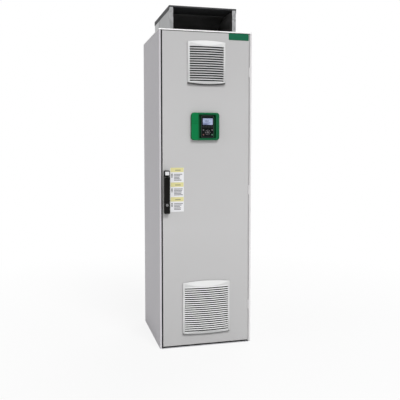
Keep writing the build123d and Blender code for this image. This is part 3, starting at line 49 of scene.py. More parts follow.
# The left side panel's grey is darker than the other panels' grey: painted shade on the side turned
# away from the front lamp.
left_side_shaded_grey = (0.490, 0.478, 0.501, 1.0)
# A dark grey that paints the shade in the gaps round the door.
gap_shade_grey = (0.045, 0.045, 0.047, 1.0)
cabinet_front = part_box("left_side_panel")[0].y
strip_depth = 0.0012
hem_start = 0.0022
hem_outer = 0.2897
lip_depth = 0.0008


class Wire:
    """The value of one socket in a node tree. A sum on it adds the Math nodes that work it out."""

    def __init__(self, tree, socket=None):
        self.tree = tree
        self.socket = socket

    def node(self, kind, settings=None, sockets=None, output=0):
        """Adds one node: its settings first, then the values or wires of its sockets. A list holds the
        wires of one socket that takes several."""
        made = self.tree.nodes.new(kind)
        for name, value in (settings or {}).items():
            setattr(made, name, value)
        for name, value in (sockets or {}).items():
            for one in (value if isinstance(value, list) else [value]):
                if isinstance(one, Wire):
                    self.tree.links.new(one.socket, made.inputs[name])
                else:
                    made.inputs[name].default_value = one
        return Wire(self.tree, made.outputs[output] if made.outputs else None)

    def math(self, operation, other=0.0):
        """This value and another one through a Math node."""
        return self.node("ShaderNodeMath", {"operation": operation}, {0: self, 1: other})

    def __add__(self, other):
        return self.math("ADD", other)

    __radd__ = __add__

    def __sub__(self, other):
        return self.math("SUBTRACT", other)

    def __rsub__(self, other):
        return self * -1.0 + other

    def __mul__(self, other):
        return self.math("MULTIPLY", other)

    __rmul__ = __mul__

    def __rtruediv__(self, other):
        return self.node("ShaderNodeMath", {"operation": "DIVIDE"}, {0: other, 1: self})

    def __gt__(self, other):
        return self.math("GREATER_THAN", other)

    def __lt__(self, other):
        return self.math("LESS_THAN", other)

    def __abs__(self):
        return self.math("ABSOLUTE")

    def within(self, low, high):
        """1 between low and high, and 0 outside them."""
        return (self > low) * (self < high)

    def zigzag(self, reach):
        """Rises from 0 to 1 over each reach, and falls back over the next."""
        return self.math("PINGPONG", reach) * (1 / reach)

    def axis(self, name):
        """X, Y or Z of a place."""
        return self.node("ShaderNodeSeparateXYZ", None, {0: self}, name)

    def stretched(self, *factors):
        """A place whose X, Y and Z are multiplied, so that a pattern on it runs finer or longer."""
        return self.node("ShaderNodeMapping", None, {"Vector": self, "Scale": factors})

    def noise(self, scale, detail):
        """Cloudy noise: scale is how fine it is, and detail how many finer layers it has."""
        return self.node("ShaderNodeTexNoise", None, {"Vector": self, "Scale": scale, "Detail": detail})

    def ramp(self, low, high):
        """0 below low, 1 above high, and a straight slope between them."""
        return self.node("ShaderNodeMapRange", {"clamp": True},
                         {"Value": self, "From Min": low, "From Max": high})

    def between(self, first, second):
        """The colour from first to second as this value goes from 0 to 1."""
        return self.node("ShaderNodeMix", {"data_type": "RGBA"},
                         {"Factor": self, 6: first, 7: second}, 2)


def grey_of(level):
    """A neutral colour."""
    return (level, level, level, 1.0)


def tint(colour, factor):
    """A colour made lighter or darker by a factor."""
    return tuple(min(1.0, channel * factor) for channel in colour[:3]) + (1.0,)


def new_finish(name):
    """An empty material, and the wire of its Object coordinates, which its patterns start from."""
    material = bpy.data.materials.new(name)
    material.use_nodes = True
    material.node_tree.nodes.clear()
    place = Wire(material.node_tree).node("ShaderNodeTexCoord", output="Object")
    return material, place


def close_finish(place, height=None, depth=0.0, **sockets):
    """Ends a material in its surface shader. height and depth are the relief in its surface."""
    values = {name.replace("_", " "): value for name, value in sockets.items()}
    if height is not None:
        values["Normal"] = place.node("ShaderNodeBump", None, {"Height": height, "Distance": depth})
    surface = place.node("ShaderNodeBsdfPrincipled", None, values)
    place.node("ShaderNodeOutputMaterial", None, {"Surface": surface})


def powder_coat(name, colour, roughness=0.46, toned=None, tone=1.0, painted_gap_shade=None):
    """A baked coat with a fine orange-peel grain, slightly uneven in shade and gloss. Where
    toned(place) is 1 its colour is multiplied by tone, and where the gap mask is 1 it is painted
    dark, as painted shade in a gap."""
    material, place = new_finish(name)
    cloud = place.noise(2.2, 3.0)
    grain = place.noise(850.0, 2.0)
    peel = place.noise(260.0, 3.0)
    speck = place.noise(1500.0, 1.0).ramp(0.68, 0.74)
    shade = cloud.between(tint(colour, 0.975), tint(colour, 1.02))
    if toned:
        shade = toned(place).between(shade, tint(colour, tone))
    if painted_gap_shade:
        shade = painted_gap_shade(place).between(shade, gap_shade_grey)
    close_finish(place, height=grain * 0.6 + peel, depth=0.00006,
                 Base_Color=(speck * 0.10).between(shade, tint(colour, 0.7)),
                 Roughness=cloud * 0.10 + grain * 0.08 + (roughness - 0.09))
    return material


def dress(material, *names):
    """Gives CAD nodes their material."""
    for name in names:
        for material_slot in nodes[name].material_slots:
            material_slot.material = material


def corner_strip_highlight(place):
    """The narrow face of a side panel beside the door, painted lighter as a painted highlight."""
    return place.axis("Y") < cabinet_front + strip_depth


def hem(place):
    """The edge of a side panel that is folded back into the gap beside the door. It is painted dark, as
    painted shade in the gap.
    """
    return (abs(place.axis("X")) < hem_outer) * (place.axis("Y") > cabinet_front + hem_start)


def roof_lip_highlight(place):
    """The front edge of the roof, painted lighter again as a painted highlight."""
    return place.axis("Y") < cabinet_front + lip_depth


dress(powder_coat("left_side_coat", left_side_shaded_grey, toned=corner_strip_highlight, tone=1.28, painted_gap_shade=hem),
      "left_side_panel")
dress(powder_coat("right_side_coat", panel_grey, toned=corner_strip_highlight, tone=1.42), "right_side_panel")
dress(powder_coat("rear_coat", panel_grey), "rear_panel")
# The roof's coat is painted lighter than the other panels' coat, and its front lip lighter still:
# painted light from above.
dress(powder_coat("roof_coat", tint(panel_grey, 1.25), toned=roof_lip_highlight, tone=1.75), "roof_panel")

# ---------------------------------------------------------------- welded frame
# Base ring, four square-tube uprights and top ring, welded. Their black coat is a painted shade, so
# that the gaps round the door look dark. The base ring's narrow rim in front has the panels' light
# coat.
frame_shade_black = (0.022, 0.022, 0.023, 1.0)
rim_height = 0.006


def outer_rim(place):
    """The front face of the base ring's rim, below the door."""
    return (place.axis("Y") < cabinet_front + strip_depth) * (place.axis("Z") < rim_height)


dress(powder_coat("frame_coat", frame_shade_black, 0.50, toned=outer_rim, tone=22.0),
      "base_frame", "top_frame", "front_left_upright", "front_right_upright",
      "rear_left_upright", "rear_right_upright")

# ---------------------------------------------------------------- mounting plate and gland plate
# Hot-dip galvanised sheets with a crystalline spangle. The mounting plate stands on the rear
# uprights, and the gland plate closes the base ring until cables are led in.
zinc = (0.56, 0.575, 0.585, 1.0)


def galvanised_sheet(name, colour, spangle=55.0, roughness=0.38, toned=None, tone=1.0):
    """Zinc crystals of about 15 mm, each with its own shade and gloss, under a fine grain. Where
    toned(place) is 1 the sheet's colour is multiplied by tone."""
    material, place = new_finish(name)
    crystal = place.node("ShaderNodeTexVoronoi", None,
                         {"Vector": place.stretched(1.0, 1.0, 0.72), "Scale": spangle}, "Color")
    shade = crystal.axis("X")
    grain = place.noise(420.0, 3.0)
    cloud = place.noise(3.0, 2.0)
    patchy = shade * 0.55 + cloud * 0.45
    surface = patchy.between(tint(colour, 0.82), tint(colour, 1.10))
    if toned:
        toned_surface = patchy.between(tint(colour, 0.90 * tone), tint(colour, 1.06 * tone))
        surface = toned(place).between(surface, toned_surface)
    close_finish(place, height=grain, depth=0.00002,
                 Base_Color=surface,
                 Metallic=0.75,
                 Roughness=shade * 0.14 + grain * 0.06 + (roughness - 0.10))
    return material


dress(galvanised_sheet("zinc_sheet", zinc), "mounting_plate", "gland_plate")

# ---------------------------------------------------------------- roof hood
# A galvanised duct that throws the cooling air forward. Its lipped cover is given a far darker colour
# than its body, and the liner and its curved deflector are matt black, a painted shade in the hood's
# mouth.
hood_zinc = (0.46, 0.465, 0.47, 1.0)
cover_zinc = (0.07, 0.072, 0.075, 1.0)
hood_spangle = 75.0
hood_seam_y = 0.136


def behind_seam(place):
    """The rear part of the hood's sides, which comes from a brighter sheet."""
    return place.axis("Y") > hood_seam_y


dress(galvanised_sheet("hood_sheet", hood_zinc, hood_spangle, 0.44, toned=behind_seam, tone=1.3),
      "hood_body")
dress(galvanised_sheet("cover_sheet", cover_zinc, hood_spangle, 0.60), "hood_cover")


def matt_black(name, level, roughness):
    """A dull black, which stands as painted shade, with lighter horizontal streaks that are painted
    reflections.
    """
    material, place = new_finish(name)
    # The dust noise here paints reflections: lighter horizontal streaks on the black.
    dust = place.stretched(0.25, 1.0, 2.5).noise(9.0, 4.0)
    grain = place.noise(900.0, 2.0)
    close_finish(place, height=grain, depth=0.00005,
                 Base_Color=dust.ramp(0.35, 0.75).between(grey_of(level), grey_of(level * 2.4)),
                 Roughness=dust * 0.2 + (roughness - 0.1))
    return material


dress(matt_black("liner_black", 0.085, 0.55), "hood_liner")

# ---------------------------------------------------------------- panel screws
# Fourteen zinc-plated pan-head screws, 11 mm wide with a cross recess, hold the rear panel and the
# hood's sides. They stand for the CAD node's plain ones, and each is driven to its own angle.
screws_low, screws_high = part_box("panel_screws")
screw_head_radius = 0.0055
rear_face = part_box("rear_panel")[1].y
rear_rows = 5
rear_pitch = 0.440
hood_side = 0.2185
hood_screw_y = (-0.150, 0.230)


def plated_steel(name, colour=(0.60, 0.60, 0.58, 1.0), roughness=0.30, warm=0.06):
    """Bright zinc plating with faint yellow and blue drifts and fine drawing marks."""
    material, place = new_finish(name)
    drift = place.noise(38.0, 2.0)
    scratch = place.stretched(900.0, 900.0, 60.0).noise(1.0, 2.0)
    close_finish(place, height=scratch, depth=0.00001,
                 Base_Color=drift.between(
                     (colour[0] * (1 + warm), colour[1], colour[2] * (1 - warm), 1.0),
                     (colour[0] * (1 - warm), colour[1], colour[2] * (1 + warm), 1.0)),
                 Metallic=0.9,
                 Roughness=scratch * 0.16 + drift * 0.08 + (roughness - 0.1))
    return material


def new_shape_tree(name, sockets):
    """An empty Geometry Nodes tree with named inputs, and the wires that come from them."""
    tree = bpy.data.node_groups.new(name, "GeometryNodeTree")
    tree.interface.new_socket(name="Geometry", in_out="OUTPUT", socket_type="NodeSocketGeometry")
    for label, kind in {"Geometry": "Geometry", **sockets}.items():
        tree.interface.new_socket(name=label, in_out="INPUT", socket_type="NodeSocket" + kind)
    entry = tree.nodes.new("NodeGroupInput")
    return tree, {label: Wire(tree, entry.outputs[label]) for label in ("Geometry", *sockets)}


def close_shape_tree(shape, material):
    """Ends a tree: the instances become one mesh of one material."""
    whole = shape.node("GeometryNodeRealizeInstances", None, {0: shape})
    finished = whole.node("GeometryNodeSetMaterial", None, {0: whole, "Material": material})
    finished.node("NodeGroupOutput", None, {0: finished})


def placed(name, data):
    """A new object in the scene that holds a mesh, a lamp or a camera."""
    made = bpy.data.objects.new(name, data)
    bpy.context.scene.collection.objects.link(made)
    return made


def grow(name, tree, values, places, facings, body):
    """Runs a tree on points that carry a facing direction, and lets its plain mesh ride on a body."""
    points = bpy.data.meshes.new(name)
    points.from_pydata(places, [], [])
    directions = points.attributes.new("facing", "FLOAT_VECTOR", "POINT")
    for entry, facing in zip(directions.data, facings):
        entry.vector = facing
    piece = placed(name, points)
    modifier = piece.modifiers.new(name, "NODES")
    modifier.node_group = tree
    for socket in tree.interface.items_tree:
        if socket.in_out == "INPUT" and socket.name in values:
            modifier[socket.identifier] = values[socket.name]
    graph = bpy.context.evaluated_depsgraph_get()
    mesh = bpy.data.meshes.new_from_object(piece.evaluated_get(graph))
    piece.modifiers.clear()
    piece.data = mesh
    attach(piece, body)
    return piece


def set_on_points(points, shape, most_turn=math.tau):
    """Puts a shape on each point, its Z along the point's facing, turned about it by chance."""
    facing = points.node("GeometryNodeInputNamedAttribute", {"data_type": "FLOAT_VECTOR"},
                         {"Name": "facing"})
    upright = points.node("FunctionNodeAlignRotationToVector", {"axis": "Z"}, {"Vector": facing})
    turn = points.node("FunctionNodeRandomValue", {"data_type": "FLOAT"},
                       {2: 0.0, 3: most_turn, "Seed": 7}, 1)
    about_axis = points.node("FunctionNodeAxisAngleToRotation", None,
                             {"Axis": (0.0, 0.0, 1.0), "Angle": turn})
    turned = points.node("FunctionNodeRotateRotation", {"rotation_space": "LOCAL"},
                         {"Rotation": upright, "Rotate By": about_axis})
    return points.node("GeometryNodeInstanceOnPoints", None,
                       {"Points": points, "Instance": shape, "Rotation": turned})


def lifted(shape, height):
    """A shape moved along Z."""
    up = shape.node("ShaderNodeCombineXYZ", None, {2: height})
    return shape.node("GeometryNodeTransform", None, {0: shape, "Translation": up})


def block_of(width, depth, height, middle):
    """A block centred on Z, with its middle at a height."""
    size = width.node("ShaderNodeCombineXYZ", None, {0: width, 1: depth, 2: height})
    return lifted(width.node("GeometryNodeMeshCube", None, {"Size": size}), middle)


def pan_head_tree():
    """A screw with a low domed head, a cross recess and a plain shank, on each point."""
    tree, given = new_shape_tree("pan_head_screws",
                                 {"Head Radius": "Float", "Head Height": "Float",
                                  "Shank Radius": "Float", "Shank Length": "Float",
                                  "Material": "Material"})
    radius, height = given["Head Radius"], given["Head Height"]
    ball = radius.node("GeometryNodeMeshUVSphere", None, {"Segments": 32, "Rings": 20, "Radius": 1.0})
    squash = radius.node("ShaderNodeCombineXYZ", None, {0: radius, 1: radius, 2: height})
    dome = ball.node("GeometryNodeTransform", None, {0: ball, "Scale": squash})
    below = block_of(radius * 3.0, radius * 3.0, height * 2.0, height * -1.0)
    slot_width, slot_length, slot_middle = radius * 0.24, radius * 1.05, height * 0.9
    arm = block_of(slot_width, slot_length, height, slot_middle)
    cross_arm = block_of(slot_length, slot_width, height, slot_middle)
    head = dome.node("GeometryNodeMeshBoolean", {"operation": "DIFFERENCE", "solver": "EXACT"},
                     {0: dome, 1: [below, arm, cross_arm]})
    shank = radius.node("GeometryNodeMeshCylinder", None,
                        {"Vertices": 20, "Radius": given["Shank Radius"],
                         "Depth": given["Shank Length"]})
    set_shank = lifted(shank, given["Shank Length"] * -0.5)
    screw = head.node("GeometryNodeJoinGeometry", None, {0: [head, set_shank]})
    close_shape_tree(set_on_points(given["Geometry"], screw), given["Material"])
    return tree


screw_zinc = plated_steel("screw_zinc")
pan_head = pan_head_tree()
screw_places, screw_facings = [], []
for hand in (-1, 1):
    for row in range(rear_rows):
        screw_places.append((hand * (screws_high.x - screw_head_radius), rear_face,
                             screws_low.z + screw_head_radius + row * rear_pitch))
        screw_facings.append((0.0, 1.0, 0.0))
    for screw_y in hood_screw_y:
        screw_places.append((hand * hood_side, screw_y, screws_high.z - screw_head_radius))
        screw_facings.append((hand, 0.0, 0.0))
pan_head_screws = grow("pan_head_screws", pan_head,
                       {"Head Radius": screw_head_radius, "Head Height": 0.0025, "Shank Radius": 0.0025,
                        "Shank Length": 0.003, "Material": screw_zinc},
                       screw_places, screw_facings, "cabinet")
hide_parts("panel_screws")

# ---------------------------------------------------------------- power module
# The drive's inverter block: a galvanised housing bolted to the mounting plate, with a moulded front
# cover, the control unit on it, and a fan tray on top.
cover_grey = (0.085, 0.088, 0.092, 1.0)
unit_grey = (0.22, 0.225, 0.23, 1.0)
switch_black = (0.02, 0.02, 0.022, 1.0)
aluminium = (0.62, 0.625, 0.63, 1.0)
rotor_black = (0.016, 0.016, 0.018, 1.0)


def moulded_plastic(name, colour, roughness=0.42, grain_scale=1400.0, grain_depth=0.00003,
                    coat=0.0, sheen=0.5):
    """An injection-moulded skin with a spark-eroded grain and a soft flow pattern. coat is a clear
    layer on it, and sheen the strength of its plain reflection."""
    material, place = new_finish(name)
    flow = place.noise(14.0, 2.0)
    grain = place.noise(grain_scale, 2.0)
    close_finish(place, height=grain, depth=grain_depth,
                 Base_Color=flow.between(tint(colour, 0.94), tint(colour, 1.05)),
                 Roughness=flow * 0.08 + grain * 0.08 + (roughness - 0.08),
                 Coat_Weight=coat, Specular_IOR_Level=sheen)
    return material


dress(galvanised_sheet("module_sheet", tint(zinc, 0.92), 60.0), "module_housing")
dress(moulded_plastic("module_cover_grey", cover_grey), "module_cover")
dress(moulded_plastic("control_unit_grey", unit_grey), "control_unit")
dress(moulded_plastic("switch_module_black", switch_black, 0.5), "power_modules")


def drawn_aluminium(name):
    """Extruded aluminium with die lines along its length."""
    material, place = new_finish(name)
    die_line = place.stretched(700.0, 700.0, 4.0).noise(1.0, 3.0)
    cloud = place.noise(9.0, 2.0)
    close_finish(place, height=die_line, depth=0.00002,
                 Base_Color=cloud.between(tint(aluminium, 0.92), tint(aluminium, 1.05)),
                 Metallic=0.9,
                 Roughness=die_line * 0.18 + 0.27)
    return material


dress(drawn_aluminium("heatsink_aluminium"), "heatsink", "dc_capacitors")
dress(galvanised_sheet("fan_tray_sheet", tint(zinc, 0.9), 60.0), "fan_tray")
dress(moulded_plastic("rotor_black", rotor_black, 0.45), "fan_rotor")

# ---------------------------------------------------------------- fan guard
# A guard of ten welded wire rings, the largest 174 mm wide, lies on the fan tray over the rotor. Four
# spokes of the same 2.4 mm wire carry the rings, and a small pan-head screw holds each spoke's end.
tray_low, tray_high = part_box("fan_tray")
fan_y = (tray_low.y + tray_high.y) / 2
spoke_end = 0.0905
spoke_corner = spoke_end * math.sqrt(0.5)
spoke_start = 0.8
ring_lift = 2.9
guard_screw_lift = 0.0004
dull_zinc = (0.50, 0.50, 0.49, 1.0)


def fan_guard_tree():
    """Rings of wire on spokes, on each point. The spokes start within the inner ring, and the rings lie
    ring_lift wire radii above the point, on the spokes."""
    tree, given = new_shape_tree("fan_guard",
                                 {"Rings": "Int", "Inner Radius": "Float", "Ring Pitch": "Float",
                                  "Wire Radius": "Float", "Spokes": "Int", "Spoke End": "Float",
                                  "Material": "Material"})
    wire_radius = given["Wire Radius"]
    index = wire_radius.node("GeometryNodeInputIndex")
    profile = wire_radius.node("GeometryNodeCurvePrimitiveCircle", None,
                               {"Resolution": 8, "Radius": wire_radius})
    circle = wire_radius.node("GeometryNodeCurvePrimitiveCircle", None,
                              {"Resolution": 72, "Radius": 1.0})
    ring_points = wire_radius.node("GeometryNodeMeshLine", None,
                                   {"Count": given["Rings"], "Offset": (0.0, 0.0, 0.0)})
    reach = index * given["Ring Pitch"] + given["Inner Radius"]
    width = wire_radius.node("ShaderNodeCombineXYZ", None, {0: reach, 1: reach, 2: 1.0})
    rings = circle.node("GeometryNodeInstanceOnPoints", None,
                        {"Points": ring_points, "Instance": circle, "Scale": width})
    raised = lifted(rings, wire_radius * ring_lift)
    start = wire_radius.node("ShaderNodeCombineXYZ", None,
                             {0: given["Inner Radius"] * spoke_start, 2: wire_radius})
    end = wire_radius.node("ShaderNodeCombineXYZ", None, {0: given["Spoke End"], 2: wire_radius})
    spoke = wire_radius.node("GeometryNodeCurvePrimitiveLine", None, {"Start": start, "End": end})
    spoke_points = wire_radius.node("GeometryNodeMeshLine", None,
                                    {"Count": given["Spokes"], "Offset": (0.0, 0.0, 0.0)})
    turn = wire_radius.node("ShaderNodeCombineXYZ", None,
                            {2: (index + 0.5) * (math.tau / given["Spokes"])})
    spokes = spoke.node("GeometryNodeInstanceOnPoints", None,
                        {"Points": spoke_points, "Instance": spoke, "Rotation": turn})
    lines = rings.node("GeometryNodeJoinGeometry", None, {0: [raised, spokes]})
    loose = lines.node("GeometryNodeRealizeInstances", None, {0: lines})
    wires = loose.node("GeometryNodeCurveToMesh", None,
                       {"Curve": loose, "Profile Curve": profile, "Fill Caps": True})
    close_shape_tree(set_on_points(given["Geometry"], wires, most_turn=0.0), given["Material"])
    return tree


grow("fan_guard", fan_guard_tree(),
     {"Rings": 10, "Inner Radius": 0.024, "Ring Pitch": 0.007, "Wire Radius": 0.0012, "Spokes": 4,
      "Spoke End": spoke_end, "Material": plated_steel("guard_wire", dull_zinc, 0.34)},
     [(0.0, fan_y, tray_high.z)], [(0.0, 0.0, 1.0)], "cabinet")
guard_screw_places = [(x, fan_y + y, tray_high.z + guard_screw_lift)
                      for x in (-spoke_corner, spoke_corner) for y in (-spoke_corner, spoke_corner)]
grow("guard_screws", pan_head,
     {"Head Radius": 0.0045, "Head Height": 0.0032, "Shank Radius": 0.002, "Shank Length": 0.006,
      "Material": screw_zinc},
     guard_screw_places, [(0.0, 0.0, 1.0)] * len(guard_screw_places), "cabinet")

# ---------------------------------------------------------------- power path
# Copper bars lead from the terminals past the line fuses to the power modules. The earth bar, which is
# of copper too, is fixed low on the mounting plate.
copper = (0.63, 0.27, 0.15, 1.0)
terminal_beige = (0.56, 0.53, 0.42, 1.0)
fuse_white = (0.70, 0.68, 0.62, 1.0)


def bare_copper(name):
    """Drawn copper with brown tarnish where it has been handled."""
    material, place = new_finish(name)
    tarnish = place.noise(22.0, 4.0).ramp(0.45, 0.75)
    drawn = place.stretched(600.0, 600.0, 20.0).noise(1.0, 2.0)
    close_finish(place, height=drawn, depth=0.00001,
                 Base_Color=(tarnish * 0.6).between(copper, tint(copper, 0.45)),
                 Metallic=0.95,
                 Roughness=tarnish * 0.2 + drawn * 0.1 + 0.24)
    return material


dress(bare_copper("bar_copper"), "power_busbars", "earth_bar")
dress(moulded_plastic("terminal_beige", terminal_beige, 0.5), "terminal_blocks")
dress(moulded_plastic("fuse_ceramic", fuse_white, 0.25, 300.0, 0.00001, coat=0.5), "line_fuses")

# ---------------------------------------------------------------- terminal bolts
# Plated M10 bolts, 18 mm across their corners on 22 mm washers. Each sits at the lower end of a bar,
# where it will clamp a cable lug, and is tightened to its own angle.
phase_x = (0.062, 0.128, 0.194)
bolt_height = 0.505
bar_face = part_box("power_busbars")[0].y


def hex_bolt_tree():
    """A hexagon head with a turned top on a round washer, on each point."""
    tree, given = new_shape_tree("terminal_bolts",
                                 {"Across Corners": "Float", "Head Height": "Float",
                                  "Washer Radius": "Float", "Washer Sheet": "Float",
                                  "Material": "Material"})
    radius = given["Across Corners"] * 0.5
    height, washer_sheet = given["Head Height"], given["Washer Sheet"]
    prism = radius.node("GeometryNodeMeshCylinder", None,
                        {"Vertices": 6, "Radius": radius, "Depth": height})
    head = lifted(prism, height * 0.5 + washer_sheet)
    turned_face, skirt = radius * 0.60, radius * 2.2
    cone = radius.node("GeometryNodeMeshCone", None,
                       {"Vertices": 48, "Radius Top": turned_face, "Radius Bottom": skirt,
                        "Depth": height})
    turning = lifted(cone, washer_sheet + height * 0.04)
    turned_head = head.node("GeometryNodeMeshBoolean", {"operation": "INTERSECT", "solver": "EXACT"},
                            {1: [head, turning]})
    washer = radius.node("GeometryNodeMeshCylinder", None,
                         {"Vertices": 40, "Radius": given["Washer Radius"], "Depth": washer_sheet})
    set_washer = lifted(washer, washer_sheet * 0.5)
    bolt = head.node("GeometryNodeJoinGeometry", None, {0: [turned_head, set_washer]})
    close_shape_tree(set_on_points(given["Geometry"], bolt), given["Material"])
    return tree


bolt_places = [(hand * x, bar_face, bolt_height) for hand in (-1, 1) for x in phase_x]
grow("terminal_bolts", hex_bolt_tree(),
     {"Across Corners": 0.018, "Head Height": 0.0064, "Washer Radius": 0.011, "Washer Sheet": 0.002,
      "Material": screw_zinc},
     bolt_places, [(0.0, -1.0, 0.0)] * len(bolt_places), "cabinet")

# ---------------------------------------------------------------- line reactor
# Three coils of copper strip and brown paper, wound together and varnished, sit on the limbs of a
# laminated iron core, which is fixed by its feet low on the mounting plate.
strip_pitch = 0.0012
sheet_pitch = 0.00075
paper_brown = (0.20, 0.10, 0.045, 1.0)
strip_copper = (0.52, 0.24, 0.13, 1.0)
varnish_dark = (0.10, 0.105, 0.115, 1.0)
varnish_light = (0.17, 0.175, 0.185, 1.0)


def wound_strip(name):
    """Coil edges: thin copper strip and insulating paper, turn by turn."""
    material, place = new_finish(name)
    turn = place.axis("X").zigzag(strip_pitch)
    varnish = place.noise(16.0, 3.0)
    close_finish(place, height=turn, depth=0.0002,
                 Base_Color=turn.ramp(0.35, 0.55).between(paper_brown, strip_copper),
                 Metallic=0.4,
                 Roughness=varnish * 0.25 + 0.25)
    return material


def laminated_core(name):
    """A stack of thin iron sheets under grey varnish."""
    material, place = new_finish(name)
    sheet = place.axis("Y").zigzag(sheet_pitch)
    cloud = place.noise(12.0, 3.0)
    close_finish(place, height=sheet, depth=0.00015,
                 Base_Color=cloud.between(varnish_dark, varnish_light),
                 Metallic=0.6,
                 Roughness=cloud * 0.2 + 0.38)
    return material


dress(wound_strip("coil_strip"), "reactor_coils")
dress(laminated_core("core_stack"), "reactor_core")

# ---------------------------------------------------------------- door
# A folded sheet pan with the cabinet's powder coat, stiffened by galvanised hat rails, with a foamed
# sealing strip on its hem. It turns on three concealed hinges, whose leaves have the coat too.
door_grey = (0.570, 0.566, 0.568, 1.0)
free_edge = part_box("door_panel")[0].x
door_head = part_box("door_panel")[1].z
flank_width = 0.0008
flank_start = 0.0040
head_fold = 0.0030
foot_shade = (0.02, 0.75)
head_shade = (1.45, 2.00)
head_share = 0.45


def door_flank(place):
    """The folded edge of the door on its free side and along its head, which stands in the gap. It is
    painted dark, as painted shade in the gap.
    """
    side = (place.axis("X") < free_edge + flank_width) * (place.axis("Y") > cabinet_front + flank_start)
    return side + (place.axis("Z") > door_head - head_fold)


def door_ends_shade(place):
    """The foot and the head of the door, whose coat is painted darker as painted shade."""
    height = place.axis("Z")
    return 1.0 - height.ramp(*foot_shade) + height.ramp(*head_shade) * head_share


dress(powder_coat("door_coat", door_grey, toned=door_ends_shade, tone=0.875, painted_gap_shade=door_flank),
      "door_panel")
dress(galvanised_sheet("stiffener_sheet", tint(zinc, 0.95), 60.0), "door_stiffeners")
# The hinge leaves' coat is painted lighter than the door's: painted light in the gap beside the hinges.
dress(powder_coat("hinge_coat", tint(panel_grey, 1.35)), "door_hinge_leaves", "cabinet_hinge_leaves")


def foamed_seal(name):
    """Black closed-cell foam, slightly crushed and dusty."""
    material, place = new_finish(name)
    cell = place.node("ShaderNodeTexVoronoi", None, {"Vector": place, "Scale": 900.0}, "Distance")
    dust = place.noise(18.0, 3.0)
    close_finish(place, height=cell, depth=0.0002,
                 Base_Color=dust.between(grey_of(0.012), grey_of(0.03)),
                 Roughness=dust * 0.1 + 0.82)
    return material


dress(foamed_seal("seal_foam"), "door_gasket")

# ---------------------------------------------------------------- louvred grilles and filter mats
# Light grey plastic mouldings of 243 x 276 and 308 x 349 mm, bowed 13 mm outwards, whose sloping slots
# run right through. Each copies its CAD node, with its bow faced anew in even triangles. Their collars
# pass through the door, and foam mats lie in them, coloured black as painted shade seen through the
# slots.
grille_grey = (0.74, 0.745, 0.745, 1.0)
lip_shadow_grey = grey_of(0.02)
grille_bow = 0.013
bow_tolerance = 0.0002
weld_distance = 0.000001
crease = math.radians(25)
slot_margin = 0.012
wall_slope = 0.72
lip_shadow_height = 0.0080
lip_rise = 0.0095


def reface_bow(name, node, material):
    """Stands for a grille's CAD node: the same shape, with its bow cut into short, even triangles."""
    low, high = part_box(node)
    radius = (high.x ** 2 + grille_bow ** 2) / (2 * grille_bow)

    def on_bow(vertex):
        sag = radius - math.sqrt(radius ** 2 - vertex.co.x ** 2)
        return abs(vertex.co.y - low.y - sag) < bow_tolerance

    skin = bmesh.new()
    skin.from_mesh(nodes[node].data)
    bmesh.ops.remove_doubles(skin, verts=skin.verts[:], dist=weld_distance)
    front = {face for face in skin.faces if all(on_bow(vertex) for vertex in face.verts)}
    inner = [edge for edge in skin.edges
             if len(edge.link_faces) == 2 and front.issuperset(edge.link_faces)]
    bmesh.ops.beautify_fill(skin, faces=list(front), edges=inner, method="AREA")
    mesh = bpy.data.meshes.new(name)
    skin.to_mesh(mesh)
    skin.free()
    mesh.shade_smooth()
    mesh.set_sharp_from_angle(angle=crease)
    mesh.materials.append(material)
    piece = placed(name, mesh)
    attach(piece, "door")
    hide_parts(node)


def grille_plastic(name, node, wall_shade_level, slat_light_and_shade_tone, skin_light_and_shade_tone, lip_shadow_share):
    """The moulding's light skin. The walls of the slots, which face up and down, are painted dark, a
    painted shade, and the slats and the rest of the skin have each grille's own tone, as painted light
    and shade. A dark band along the arc of the lower lip is a painted shadow."""
    low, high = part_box(node)
    material, place = new_finish(name)
    flow = place.noise(14.0, 2.0)
    grain = place.noise(1400.0, 2.0)
    facing = place.node("ShaderNodeNewGeometry", output="True Normal").axis("Z")
    height = place.axis("Z")
    slot_wall_shade = (abs(facing) > wall_slope) * height.within(low.z + slot_margin, high.z - slot_margin)
    slat = (abs(place.axis("X")) < high.x - slot_margin) * height.within(
        low.z + 3 * slot_margin, high.z - 3 * slot_margin)
    off_centre = place.axis("X") * (1 / high.x)
    lip_shadow = height < off_centre * off_centre * lip_rise + (low.z + lip_shadow_height)

    def streaked(tone):
        return flow.between(tint(grille_grey, 0.94 * tone), tint(grille_grey, 1.05 * tone))

    painted_shade_skin = slot_wall_shade.between(slat.between(streaked(skin_light_and_shade_tone), streaked(slat_light_and_shade_tone)), grey_of(wall_shade_level))
    close_finish(place, height=grain, depth=0.00003,
                 Base_Color=(lip_shadow * lip_shadow_share).between(painted_shade_skin, lip_shadow_grey),
                 Roughness=flow * 0.08 + grain * 0.08 + slot_wall_shade * 0.3 + 0.30)
    return material


top_plastic = grille_plastic("top_grille_plastic", "top_grille", wall_shade_level=0.004, slat_light_and_shade_tone=0.76,
                             skin_light_and_shade_tone=1.0, lip_shadow_share=0.95)
reface_bow("top_grille_skin", "top_grille", top_plastic)
bottom_plastic = grille_plastic("bottom_grille_plastic", "bottom_grille", wall_shade_level=0.020,
                                slat_light_and_shade_tone=1.22, skin_light_and_shade_tone=0.88, lip_shadow_share=0.70)
reface_bow("bottom_grille_skin", "bottom_grille", bottom_plastic)


